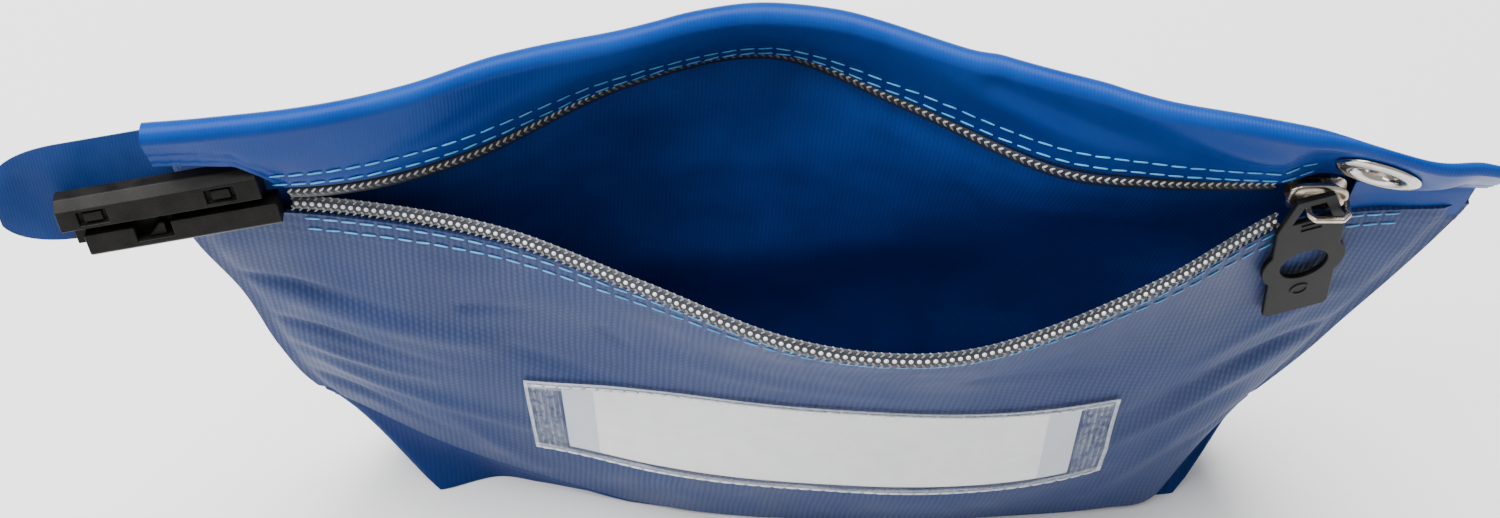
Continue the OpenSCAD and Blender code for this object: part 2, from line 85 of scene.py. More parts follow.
# The film over the card, and the widths of the bright line along its ends and sides.
LABEL_X, LABEL_LOW, LABEL_LONG, LABEL_TALL = 7.0, 44.0, 178.0, 48.0
LABEL_MIDDLE = LABEL_LOW + LABEL_TALL / 2
CARD_LONG, CARD_INSET = 156.0, 4.0
FILM_END, FILM_SIDE = 0.8, 0.7

# The seams are (height, x) pairs. Every other line is (s, y) pairs.
LEFT_SEAM = [(0, -125), (46, -153), (75, -160), (113, -164), (150, -172), (210, -171)]
RIGHT_SEAM = [
    (0, 133), (45, 150), (72, 159), (94, 165), (121, 173), (147, 180), (168, 184), (190, 183), (210, 178),
]
FRONT_MOUTH = [
    (-1, 0), (-0.75, -2), (-0.5, -10.5), (-0.28, -27), (-0.06, -44), (0.12, -49),
    (0.27, -45), (0.5, -27), (0.7, -5.5), (0.8, -1), (1, 0),
]
FRONT_WAIST = [
    (-1, 0), (-0.75, -12), (-0.5, -18), (-0.25, -22), (0.05, -28),
    (0.3, -29), (0.6, -24), (0.72, -17), (0.85, -8), (1, 0),
]
FRONT_BELLY = [
    (-1, 0), (-0.75, -12), (-0.5, -20), (-0.27, -28), (0.15, -35),
    (0.4, -34), (0.6, -29), (0.85, -16), (1, 0),
]
FRONT_FOOT = [
    (-1, 0), (-0.9, -12), (-0.7, -17), (-0.48, -22), (-0.27, -26),
    (0.2, -30), (0.5, -28), (0.77, -25), (0.9, -20), (1, 0),
]
BACK_MOUTH = [
    (-1, 0), (-0.75, -1), (-0.55, 9), (-0.31, 33), (-0.08, 43),
    (0.13, 26), (0.35, 5), (0.5, 1), (0.65, 0.5), (0.8, 1.5), (1, 1),
]
BACK_WAIST = [(-1, 0), (-0.75, 12), (-0.4, 22), (0.2, 27), (0.6, 22), (0.85, 11), (1, 0)]
BACK_BELLY = [(-1, 0), (-0.75, 13), (-0.4, 26), (0.2, 32), (0.6, 27), (0.85, 14), (1, 0)]
BACK_FOOT = [(-1, 0), (-0.9, 12), (-0.7, 18), (-0.3, 26), (0.2, 29), (0.6, 26), (0.9, 19), (1, 0)]
FOLD_LINE = [
    (-1, -6), (-0.8, -2), (-0.62, 6), (-0.48, 15), (-0.18, 28), (-0.07, 31), (0.05, 28),
    (0.27, 15), (0.56, 0), (0.85, -12), (1, -16),
]
FRONT_FLOOR = [
    (-1, -17), (-0.95, -18), (-0.8, -13), (-0.69, -15), (-0.48, -20),
    (0.2, -27.5), (0.5, -25.5), (0.77, -22.5), (0.96, -19), (1, -18),
]
BACK_FLOOR = [(-1, 16), (-0.95, 17), (-0.69, 16), (-0.3, 23), (0.2, 26.5), (0.6, 23.5), (0.96, 18), (1, 17)]


def through(levels, values, at):
    """A smooth curve through values at levels, read at every place in at."""
    at = np.asarray(at, float)
    shape = at.shape
    at = at.ravel()
    levels = np.asarray(levels, float)
    values = np.stack([np.broadcast_to(np.asarray(v, float), shape).ravel() for v in values])
    slopes = np.empty_like(values)
    slopes[1:-1] = (values[2:] - values[:-2]) / (levels[2:] - levels[:-2])[:, None]
    slopes[0] = (values[1] - values[0]) / (levels[1] - levels[0])
    slopes[-1] = (values[-1] - values[-2]) / (levels[-1] - levels[-2])
    i = np.clip(np.searchsorted(levels, at, side="right") - 1, 0, len(levels) - 2)
    k = np.arange(at.size)
    h = levels[i + 1] - levels[i]
    t = np.clip((at - levels[i]) / h, 0, 1)
    a, b = values[i, k], values[i + 1, k]
    ma, mb = slopes[i, k] * h, slopes[i + 1, k] * h
    out = (2 * t**3 - 3 * t**2 + 1) * a + (t**3 - 2 * t**2 + t) * ma
    out += (3 * t**2 - 2 * t**3) * b + (t**3 - t**2) * mb
    return out.reshape(shape)


def along(points, at):
    """The smooth curve through the pairs in points."""
    return through([p[0] for p in points], [p[1] for p in points], at)


def mix(a, b, t):
    return a + (b - a) * t


def unit(vectors):
    """Rows of vectors made one long."""
    return vectors / np.linalg.norm(vectors, axis=-1, keepdims=True)


def clamp01(t):
    return np.clip(t, 0.0, 1.0)


def smooth(t):
    t = clamp01(t)
    return t * t * (3 - 2 * t)


def x_at(s, z):
    """Where s lies along the bag at a height."""
    return mix(along(LEFT_SEAM, z), along(RIGHT_SEAM, z), (s + 1) / 2)


def s_at(x, z):
    """Where x lies between the side seams at a height."""
    a, b = along(LEFT_SEAM, z), along(RIGHT_SEAM, z)
    return 2 * (x - a) / (b - a) - 1


def mouth_y(s):
    """The front edge of the mouth."""
    return along(FRONT_MOUTH, s)


def rear_y(s):
    """The rear edge of the mouth."""
    return along(BACK_MOUTH, s)


def front_y(s, z):
    """The front panel without its creases."""
    levels = [LIP, BELLY_Z, WAIST_Z, ZIP_Z]
    values = [along(FRONT_FOOT, s), along(FRONT_BELLY, s), along(FRONT_WAIST, s), mouth_y(s)]
    return through(levels, values, z) - SEAM_GAP


def eyelet_normal():
    """Which way the eyelet's flange looks."""
    yaw, lean = math.radians(EYELET_YAW), math.radians(EYELET_LEAN)
    return np.array([math.cos(lean) * math.sin(yaw), -math.cos(lean) * math.cos(yaw), -math.sin(lean)])


def eyelet_plane_y(x, z):
    """The flat that the eyelet presses into the cloth."""
    n = eyelet_normal()
    return EYELET[1] - (n[0] * (x - EYELET[0]) + n[2] * (z - EYELET[2])) / n[1]


def pressed(x, z, fade=14.0):
    """1 where the eyelet presses the layers flat, and 0 away from it."""
    return 1 - smooth((np.hypot(x - EYELET[0], z - EYELET[2]) - EYELET_PAD) / fade)


def leaning_y(s, z):
    """The band without the eyelet's flat: straight up from the mouth's rear edge to its fold."""
    return mix(rear_y(s), along(FOLD_LINE, s), (z - ZIP_Z) / BAND_HEIGHT)


def band_y(s, z):
    """The band without its creases."""
    x = x_at(s, z)
    return mix(leaning_y(s, z), eyelet_plane_y(x, z), pressed(x, z))


def layer_gap(s, z):
    """How far the back lies behind the band: a roll's width, and next to nothing at the right seam."""
    wide = 1 + (2 * ROLL_R - 1) * (1 - np.maximum(0, s) ** 6)
    return mix(wide, PRESSED_GAP, pressed(x_at(s, z), z))


def back_y(s, z):
    """The back panel without its creases."""
    levels = [LIP, BELLY_Z, WAIST_Z, NECK_Z, ZIP_Z, BACK_TOP_Z]
    waist = along(BACK_WAIST, s)
    values = [
        along(BACK_FOOT, s), along(BACK_BELLY, s), waist, mix(waist, rear_y(s), 0.8) + 1,
        rear_y(s) + layer_gap(s, np.full_like(s, ZIP_Z)),
        leaning_y(s, BACK_TOP_Z) + layer_gap(s, np.full_like(s, BACK_TOP_Z)),
    ]
    x = x_at(s, z)
    return mix(through(levels, values, z) + SEAM_GAP, eyelet_plane_y(x, z) + PRESSED_GAP, pressed(x, z, 8))


def fold_z(s):
    """The height of the fold between a panel and the base, which climbs towards the side seams."""
    left = EDGE_CLIMB[0] * clamp01((-0.45 - s) / 0.55) ** 1.2
    right = EDGE_CLIMB[1] * clamp01((s - 0.92) / 0.08) ** 1.1
    return LIP + left + right


# ---- creases: each runs from (x, z) to (x, z), with a depth and a width ----
FRONT_CREASES = [
    (-167, 126, -112, 120, 2.4, 3.0), (-160, 117, -84, 108, -1.5, 5.5), (-160, 100, -96, 92, 2.2, 3.2),
    (-158, 88, -112, 82, -1.6, 3.6), (-157, 78, -84, 58, -1.8, 4.6), (-152, 62, -104, 40, 1.8, 3.6),
    (-112, 60, -84, 24, -1.2, 5.0), (-96, 126, -76, 132, 1.2, 2.6), (-84, 108, -50, 92, 1.0, 4.0),
    (168, 98, 92, 76, 2.6, 4.0), (150, 84, 96, 62, -1.8, 5.0), (164, 122, 118, 100, -1.2, 5.0),
    (150, 50, 112, 34, 1.6, 4.0), (126, 60, 96, 20, -1.3, 5.0), (-56, 128, -44, 112, 0.9, 3.0),
    (-40, 116, 26, 104, -0.9, 6.0), (52, 122, 96, 112, 0.8, 4.0),
]
BACK_CREASES = [
    (-166, 122, -116, 116, 2.0, 4.0), (-158, 96, -96, 84, 1.8, 5.0), (-152, 70, -100, 46, 1.6, 5.0),
    (166, 100, 96, 80, 2.2, 5.0), (156, 76, 108, 50, 1.6, 5.0), (-40, 140, 20, 122, 1.2, 8.0),
]
BAND_CREASES = [
    (-120, 178, -60, 200, 1.6, 5.0), (-96, 184, -40, 204, -1.4, 6.0), (-60, 182, -8, 204, 0.9, 5.0),
    (52, 200, 110, 184, 1.8, 5.0), (86, 204, 132, 190, -1.6, 5.0), (118, 180, 140, 196, 1.0, 4.0),
    (20, 204, 70, 190, -1.0, 6.0),
]


def creases(table, x, z):
    """How far the cloth stands in or out at (x, z) because of its creases."""
    out = np.zeros(np.shape(x))
    for x0, z0, x1, z1, depth, width in table:
        dx, dz = x1 - x0, z1 - z0
        size = dx * dx + dz * dz
        t = clamp01(((x - x0) * dx + (z - z0) * dz) / size)
        away = np.hypot(x - (x0 + t * dx), z - (z0 + t * dz))
        # A crease that stands out is deepest at its first end, and a hollow at its middle.
        fade = smooth(1.15 - t) if depth > 0 else 0.4 + 0.6 * np.sin(math.pi * t)
        out += depth * fade * np.exp(-((away / width) ** 2))
    return out


def ripple(x, z, size=26.0, amount=0.35):
    """A slight unevenness of slack cloth."""
    u, v = x / size, z / size
    return amount * (np.sin(2.1 * u + 1.3 * np.sin(1.7 * v)) + np.sin(2.9 * v - 1.1 * np.sin(1.3 * u + 2)))


def seamed(s, z, y, side):
    """Brings a panel to the other one along the side seams, where they are sewn together."""
    shut = smooth((np.abs(s) - 0.955) / 0.03) * smooth((ZIP_Z - z) / 8)
    middle = (front_y(s, z) + back_y(s, z)) / 2
    return mix(y, middle + side * (FABRIC / 2 + 0.02), shut)


def front_surface(s, z):
    x = x_at(s, z)
    free = clamp01((1 - np.abs(s)) * 8) * smooth((ZIP_Z - 10 - z) / 22)
    y = front_y(s, z) + free * (creases(FRONT_CREASES, x, z) + ripple(x, z))
    return np.stack([x, seamed(s, z, y, -1), z + 0 * x], -1)


def band_surface(s, z):
    x = x_at(s, z)
    free = (1 - pressed(x, z)) * clamp01((1 - np.abs(s)) * 10) * smooth((z - ZIP_Z - 10) / 14)
    y = band_y(s, z) + free * (creases(BAND_CREASES, x, z) + ripple(x + 40, z, 18, 0.3))
    return np.stack([x, y, z + 0 * x], -1)


def back_surface(s, z):
    x = x_at(s, z)
    free = clamp01((1 - np.abs(s)) * 8) * smooth((150 - z) / 22) * (1 - pressed(x, z, 8))
    y = back_y(s, z) + free * (ripple(x + 90, z + 30, 30, 0.6) - creases(BACK_CREASES, x, z))
    return np.stack([x, seamed(s, z, y, 1), z + 0 * x], -1)


def normals_of(grid):
    u = np.gradient(grid, axis=0)
    v = np.gradient(grid, axis=1)
    n = np.cross(u, v)
    return n / np.maximum(np.linalg.norm(n, axis=-1, keepdims=True), 1e-9)


def off_surface(surface, x, z, out):
    """Points standing off a surface by out, at the places x, z, and the surface's normals there."""
    x, z = np.broadcast_arrays(np.asarray(x, float), np.asarray(z, float))
    p = surface(x, z)
    u = surface(x + 0.5, z) - p
    v = surface(x, z + 0.5) - p
    n = unit(np.cross(u, v))
    return p + n * np.asarray(out)[..., None], n


def front_at(x, z):
    return front_surface(s_at(x, z), z)


def band_at(x, z):
    return band_surface(s_at(x, z), z)


def cloth_uv(grid):
    """Flat places on a strip of cloth: x along it, and the length up its curve across it."""
    steps = np.linalg.norm(np.diff(grid, axis=1), axis=-1)
    length = np.concatenate([np.zeros((len(grid), 1)), np.cumsum(steps, 1)], 1)
    return np.stack([grid[..., 0], length], -1)


def stitch_pull(x, edge, depth, wide):
    """How far the two rows of stitches draw the cloth in, at a distance from the hem's edge."""
    rows = sum(np.exp(-(((edge - row) / wide) ** 2)) for row in HEM_ROWS)
    return depth * rows * (0.6 + 0.4 * np.cos(2 * math.pi * x / 5))


# ---- making meshes ----
def linked(name, data):
    """A new object in the scene that holds a mesh, a light or a camera."""
    obj = bpy.data.objects.new(name, data)
    bpy.context.scene.collection.objects.link(obj)
    return obj


def shade_smooth(mesh):
    mesh.polygons.foreach_set("use_smooth", np.ones(len(mesh.polygons), dtype=bool))


def new_object(name, verts, faces, materials, face_slots=None, uv=None, sharp=35):
    """A finished object whose place is in its mesh. verts are in millimetres."""
    mesh = bpy.data.meshes.new(name)
    mesh.from_pydata((np.asarray(verts) * MM).tolist(), [], [list(f) for f in faces])
    for m in materials:
        mesh.materials.append(m)
    if face_slots is not None:
        mesh.polygons.foreach_set("material_index", np.asarray(face_slots, dtype=np.int32))
    if uv is not None:
        layer = mesh.uv_layers.new(name="cloth")
        loops = np.empty(len(mesh.loops), dtype=np.int32)
        mesh.loops.foreach_get("vertex_index", loops)
        layer.data.foreach_set("uv", (np.asarray(uv)[loops] * MM).ravel())
    shade_smooth(mesh)
    mesh.set_sharp_from_angle(angle=math.radians(sharp))
    mesh.update()
    return linked(name, mesh)


def sheet_object(name, grid, thick, materials, uv=None, there=None):
    """A closed sheet of cloth or film through a grid of points, outer side first."""
    n, m = grid.shape[:2]
    lift = normals_of(grid) * (np.broadcast_to(thick, (n, m))[..., None] / 2)
    verts = np.concatenate([(grid + lift).reshape(-1, 3), (grid - lift).reshape(-1, 3)])
    if there is None:
        there = np.ones((n - 1, m - 1), bool)
    padded = np.zeros((n + 1, m + 1), bool)
    padded[1:-1, 1:-1] = there
    faces, slots = [], []
    o = n * m
    for i in range(n - 1):
        for j in range(m - 1):
            if not there[i, j]:
                continue
            a, b, c, d = i * m + j, i * m + j + 1, (i + 1) * m + j + 1, (i + 1) * m + j
            faces.append((a, d, c, b))
            faces.append((a + o, b + o, c + o, d + o))
            slots += [0, len(materials) - 1]
            for near, p, q in (
                (padded[i, j + 1], a, b), (padded[i + 2, j + 1], c, d),
                (padded[i + 1, j], d, a), (padded[i + 1, j + 2], b, c),
            ):
                if not near:
                    faces.append((p, q, q + o, p + o))
                    slots.append(0)
    if uv is None:
        uv = grid[..., [0, 2]]
    uv = np.concatenate([uv.reshape(-1, 2)] * 2)
    return new_object(name, verts, faces, materials, slots, uv)


def turned(profile, sides, place, name, materials):
    """A round piece: profile holds (radius, height) pairs of a closed section, turned about local +Z."""
    verts, faces = [], []
    k = len(profile)
    for i in range(sides):
        angle = 2 * math.pi * i / sides
        verts += [list(place @ Vector((r * math.cos(angle), r * math.sin(angle), h))) for r, h in profile]
        for j in range(k):
            a, b = i * k + j, i * k + (j + 1) % k
            c, d = ((i + 1) % sides) * k + (j + 1) % k, ((i + 1) % sides) * k + j
            faces.append((a, d, c, b))
    return outward(new_object(name, verts, faces, materials, sharp=50))


def outward(obj):
    """Turns every face of a closed mesh outwards."""
    bm = bmesh.new()
    bm.from_mesh(obj.data)
    bmesh.ops.remove_doubles(bm, verts=bm.verts, dist=1e-6)
    bmesh.ops.recalc_face_normals(bm, faces=bm.faces)
    bm.to_mesh(obj.data)
    bm.free()
    return obj


def finish_mesh(obj):
    """Applies the object's modifiers, so that a plain mesh is left."""
    graph = bpy.context.evaluated_depsgraph_get()
    mesh = bpy.data.meshes.new_from_object(obj.evaluated_get(graph))
    obj.modifiers.clear()
    obj.data = mesh
    return obj


def eased_copy(node, name, material, edge=0.3, segments=3):
    """A copy of a CAD node with its triangles joined and its edges eased."""
    bm = bmesh.new()
    bm.from_mesh(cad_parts[node].data)
    bmesh.ops.remove_doubles(bm, verts=bm.verts, dist=2e-6)
    bmesh.ops.dissolve_limit(bm, angle_limit=math.radians(2), verts=bm.verts, edges=bm.edges)
    mesh = bpy.data.meshes.new(name)
    bm.to_mesh(mesh)
    bm.free()
    mesh.materials.clear()
    mesh.materials.append(material)
    shade_smooth(mesh)
    obj = linked(name, mesh)
    bevel = obj.modifiers.new("eased", "BEVEL")
    bevel.width = edge * MM
    bevel.segments = segments
    bevel.limit_method = "ANGLE"
    bevel.angle_limit = math.radians(32)
    bevel.use_clamp_overlap = True
    weighted = obj.modifiers.new("even shading", "WEIGHTED_NORMAL")
    weighted.weight = 100
    finish_mesh(obj)
    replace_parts(obj, node)
    return obj


# ---- what rides where ----
# The planes of the back, the base and the band, handed to sewn().
BACK_PLANE, BASE_PLANE, BAND_PLANE = 3.7, 1.8, 0.9


def sewn(obj, slot, *nodes, plane=0.0):
    """Part of the soft bag: it rides on the bag body with a mesh of its own, in place of its CAD nodes. plane
    is not used.
    """
    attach(obj, "bag")
    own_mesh(obj)
    if nodes:
        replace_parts(obj, *nodes)
    return obj


def rigid(obj, body):
    """A hard part, or one that keeps its shape, on a body."""
    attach(obj, body)
    return obj


# ---- node trees ----
FLOAT_LENGTH = 2.3


def node(tree, kind, inputs=None, **settings):
    """A new node with its settings and inputs set. An input is a value or another node's socket."""
    n = tree.nodes.new(kind)
    for key, value in settings.items():
        setattr(n, key, value)
    for key, value in (inputs or {}).items():
        if isinstance(value, bpy.types.NodeSocket):
            tree.links.new(value, n.inputs[key])
        else:
            n.inputs[key].default_value = value
    return n


def maths(tree, operation, a, b=0.0, clamp=False):
    return node(tree, "ShaderNodeMath", {0: a, 1: b}, operation=operation, use_clamp=clamp).outputs[0]


def plus(tree, a, b, clamp=False):
    return maths(tree, "ADD", a, b, clamp)


def times(tree, a, b):
    return maths(tree, "MULTIPLY", a, b)


def wave(tree, turns):
    """A wave between 0 and 1, once for every 1 in turns."""
    return plus(tree, times(tree, maths(tree, "SINE", times(tree, turns, 2 * math.pi)), 0.5), 0.5)


def noise(tree, place, scale, detail, **more):
    given = {"Vector": place, "Scale": scale, "Detail": detail, **more}
    return node(tree, "ShaderNodeTexNoise", given).outputs["Fac"]


def blended(tree, factor, a, b):
    """A colour between a and b."""
    n = node(tree, "ShaderNodeMix", {"Factor": factor}, data_type="RGBA")
    for socket, value in ((n.inputs[6], a), (n.inputs[7], b)):
        if isinstance(value, bpy.types.NodeSocket):
            tree.links.new(value, socket)
        else:
            socket.default_value = (*value, 1.0)
    return n.outputs[2]


def ranged(tree, value, low, high, to_low=0.0, to_high=1.0):
    n = node(
        tree, "ShaderNodeMapRange",
        {"Value": value, "From Min": low, "From Max": high, "To Min": to_low, "To Max": to_high},
    )
    return n.outputs["Result"]


def group(name, inputs, outputs):
    """An empty shader node group with named sockets."""
    tree = bpy.data.node_groups.new(name, "ShaderNodeTree")
    for label, kind, default in inputs:
        socket = tree.interface.new_socket(label, in_out="INPUT", socket_type=kind)
        if default is not None:
            socket.default_value = default
    for label in outputs:
        tree.interface.new_socket(label, in_out="OUTPUT", socket_type="NodeSocketFloat")
    return tree, node(tree, "NodeGroupInput"), node(tree, "NodeGroupOutput")


VECTOR, FLOAT = "NodeSocketVector", "NodeSocketFloat"


def give(tree, ends, **values):
    """Links values to a group's outputs."""
    for label, value in values.items():
        tree.links.new(value, ends.inputs[label])
    return tree


def ribs_group():
    """Ribs that run up the cloth, broken into short floats like a weave. Pitch is in millimetres. Shade is
    the ribs' height again, used as painted shade: paler rib tops, darker grooves.
    """
    tree, i, o = group(
        "woven ribs",
        [("Coordinate", VECTOR, None), ("Pitch", FLOAT, 1.75), ("Lean", FLOAT, -0.07),
         ("Broken", FLOAT, 0.5)],
        ["Height", "Shade"],
    )
    place = i.outputs["Coordinate"]
    split = node(tree, "ShaderNodeSeparateXYZ", {0: place}).outputs
    across = plus(tree, split[0], times(tree, split[1], i.outputs["Lean"]))
    across = maths(tree, "DIVIDE", times(tree, across, 1 / MM), i.outputs["Pitch"])
    waver = noise(tree, place, 55.0, 2.0)
    across = plus(tree, across, times(tree, waver, 0.9))
    # Each rib's floats start a little further up than its neighbour's.
    step = times(tree, maths(tree, "FLOOR", across), 0.37)
    up = plus(tree, times(tree, split[1], 1 / (FLOAT_LENGTH * MM)), step)
    uneven = times(tree, wave(tree, up), i.outputs["Broken"])
    height = times(tree, wave(tree, across), maths(tree, "SUBTRACT", 1.0, uneven))
    height = plus(tree, height, times(tree, noise(tree, place, 900.0, 3.0, Roughness=0.6), 0.25))
    return give(tree, o, Height=height, Shade=times(tree, height, plus(tree, waver, 0.3)))


def wear_group():
    """Broad patches, their size in millimetres, and fine specks."""
    tree, i, o = group("wear", [("Coordinate", VECTOR, None), ("Size", FLOAT, 30.0)], ["Patch", "Speck"])
    place = i.outputs["Coordinate"]
    scale = maths(tree, "DIVIDE", 1 / MM, i.outputs["Size"])
    patch = noise(tree, place, scale, 4.0, Roughness=0.55, Distortion=0.4)
    speck = noise(tree, place, 1600.0, 2.0)
    return give(tree, o, Patch=ranged(tree, patch, 0.35, 0.68), Speck=ranged(tree, speck, 0.55, 0.75))


def grain_group():
    """The grain of a moulded surface."""
    tree, i, o = group("grain", [("Coordinate", VECTOR, None), ("Scale", FLOAT, 1800.0)], ["Height", "Tint"])
    place = i.outputs["Coordinate"]
    fine = noise(tree, place, i.outputs["Scale"], 3.0, Roughness=0.65)
    tint = plus(tree, times(tree, fine, 0.5), times(tree, noise(tree, place, 160.0, 3.0), 0.5))
    return give(tree, o, Height=fine, Tint=ranged(tree, tint, 0.35, 0.65))


def weld_group():
    """The fine grid pressed into the film beyond both ends of the card, and the strip round its edge."""
    tree, i, o = group(
        "weld grid",
        [("Coordinate", VECTOR, None), ("Middle", VECTOR, (LABEL_X * MM, LABEL_MIDDLE * MM, 0.0)),
         ("Half", FLOAT, 0.079), ("Strip", FLOAT, 0.0205), ("Pitch", FLOAT, 1.1)],
        ["Grid", "Inside", "Strip", "Edge"],
    )
    flat, given = i.outputs["Coordinate"], i.outputs
    place = node(tree, "ShaderNodeVectorMath", {0: flat, 1: given["Middle"]}, operation="SUBTRACT")
    away = node(tree, "ShaderNodeVectorMath", {0: place.outputs[0]}, operation="ABSOLUTE")
    split = node(tree, "ShaderNodeSeparateXYZ", {0: away.outputs[0]}).outputs
    broken = noise(tree, flat, 420.0, 2.0)
    lines = []
    for k, wide in ((0, 1.7), (1, 1.0)):
        turns = maths(tree, "DIVIDE", times(tree, split[k], 1 / (wide * MM)), given["Pitch"])
        lines.append(maths(tree, "POWER", wave(tree, turns), 4.0))
    inside = maths(tree, "GREATER_THAN", split[0], given["Half"])
    grid = times(tree, maths(tree, "MAXIMUM", *lines), ranged(tree, broken, 0.38, 0.6))
    strip = maths(tree, "GREATER_THAN", split[1], given["Strip"])
    strip = times(tree, strip, ranged(tree, broken, 0.3, 0.6, 0.35, 1.0))
    ends = maths(tree, "GREATER_THAN", split[0], (LABEL_LONG / 2 - FILM_END) * MM)
    sides = maths(tree, "GREATER_THAN", split[1], (LABEL_TALL / 2 - FILM_SIDE) * MM)
    edge = maths(tree, "MAXIMUM", ends, sides)
    return give(tree, o, Grid=times(tree, grid, inside), Inside=inside, Strip=strip, Edge=edge)


SHARED = {"ribs": ribs_group, "wear": wear_group, "grain": grain_group, "weld": weld_group}
MADE = {}


def use(tree, name, **inputs):
    """A shared node group placed in a material, with this material's values."""
    if name not in MADE:
        MADE[name] = SHARED[name]()
    return node(tree, "ShaderNodeGroup", inputs, node_tree=MADE[name]).outputs


def object_place(tree):
    return node(tree, "ShaderNodeTexCoord").outputs["Object"]


def cloth_place(tree):
    return node(tree, "ShaderNodeUVMap", uv_map="cloth").outputs["UV"]


def material(name, **shader):
    """A new Principled material with constants on its sockets."""
    m = bpy.data.materials.new(name)
    m.use_nodes = True
    tree = m.node_tree
    bsdf = tree.nodes["Principled BSDF"]
    for key, value in shader.items():
        socket = bsdf.inputs[key.replace("_", " ")]
        socket.default_value = (*value, 1.0) if isinstance(value, tuple) else value
    m.diffuse_color = (*shader.get("Base_Color", (0.5, 0.5, 0.5)), 1.0)
    return m, tree, bsdf


def bumped(tree, bsdf, height, strength, distance):
    """Relief on the surface. distance is in millimetres."""
    n = node(tree, "ShaderNodeBump", {"Height": height, "Strength": strength, "Distance": distance * MM})
    tree.links.new(n.outputs["Normal"], bsdf.inputs["Normal"])


def cloth(
    name, deep, pale, pitch, broken=0.5, relief=0.5, rough=(0.42, 0.6), painted_rib_shade=0.35, worn=0.45, **shader,
):
    """Woven cloth with a thin coat: ribs up the cloth, greyer where it is rubbed, and painted shade that
    makes the rib tops paler and the grooves darker.
    """
    m, tree, bsdf = material(name, Base_Color=deep, **shader)
    ribs = use(tree, "ribs", Coordinate=cloth_place(tree), Pitch=pitch, Broken=broken)
    wear = use(tree, "wear", Coordinate=object_place(tree))
    # The colour mixes real rubbed patches with painted shade taken from the ribs' height.
    factor = plus(tree, times(tree, wear["Patch"], worn), times(tree, ribs["Shade"], painted_rib_shade))
    factor = plus(tree, factor, times(tree, wear["Speck"], 0.08), clamp=True)
    tree.links.new(blended(tree, factor, deep, pale), bsdf.inputs["Base Color"])
    tree.links.new(ranged(tree, wear["Patch"], 0.0, 1.0, *rough), bsdf.inputs["Roughness"])
    bumped(tree, bsdf, ribs["Height"], relief, 0.16)
    return m


def grained(name, deep, pale, rough, scale=1800.0, relief=0.35, distance=0.06, **shader):
    """Moulded plastic, twisted thread or filament: one colour with a fine grain."""
    m, tree, bsdf = material(name, Base_Color=deep, Roughness=rough, **shader)
    grain = use(tree, "grain", Coordinate=object_place(tree), Scale=scale)
    tree.links.new(blended(tree, grain["Tint"], deep, pale), bsdf.inputs["Base Color"])
    bumped(tree, bsdf, grain["Height"], relief, distance)
    return m


def metal(name, colour, warm, rough):
    """Plated metal with slightly warm, slightly uneven polish."""
    m, tree, bsdf = material(name, Base_Color=colour, Metallic=1.0)
    wear = use(tree, "wear", Coordinate=object_place(tree), Size=5.0)
    tree.links.new(blended(tree, wear["Patch"], colour, warm), bsdf.inputs["Base Color"])
    tree.links.new(ranged(tree, wear["Patch"], 0.0, 1.0, *rough), bsdf.inputs["Roughness"])
    bumped(tree, bsdf, wear["Speck"], 0.08, 0.02)
    return m


def film_material():
    """Clear film: nearly unseen over the card, and milky where it is welded and along its edge."""
    m, tree, bsdf = material(
        "clear film", Base_Color=(0.72, 0.77, 0.84), Roughness=0.1, Specular_IOR_Level=0.3,
    )
    weld = use(tree, "weld", Coordinate=cloth_place(tree))
    wear = use(tree, "wear", Coordinate=object_place(tree), Size=14.0)
    alpha = plus(tree, times(tree, weld["Grid"], 0.2), 0.02)
    alpha = plus(tree, alpha, times(tree, weld["Strip"], 0.28))
    alpha = plus(tree, alpha, times(tree, weld["Edge"], 0.35))
    alpha = plus(tree, alpha, times(tree, wear["Patch"], 0.04), clamp=True)
    tree.links.new(alpha, bsdf.inputs["Alpha"])
    height = plus(tree, times(tree, weld["Grid"], 0.5), times(tree, wear["Patch"], 2.0))
    bumped(tree, bsdf, height, 0.6, 0.3)
    return m


def card_material():
    """White card with a faint greyer strip at each end."""
    m, tree, bsdf = material("card", Base_Color=(0.9, 0.9, 0.89), Roughness=0.6)
    ends = use(tree, "weld", Coordinate=cloth_place(tree), Half=0.0685)
    grain = use(tree, "grain", Coordinate=object_place(tree), Scale=900.0)
    paper = blended(tree, grain["Tint"], (0.86, 0.86, 0.85), (0.93, 0.93, 0.92))
    share = times(tree, ends["Inside"], 0.75)
    tree.links.new(blended(tree, share, paper, (0.5, 0.56, 0.64)), bsdf.inputs["Base Color"])
    bumped(tree, bsdf, grain["Height"], 0.1, 0.06)
    return m


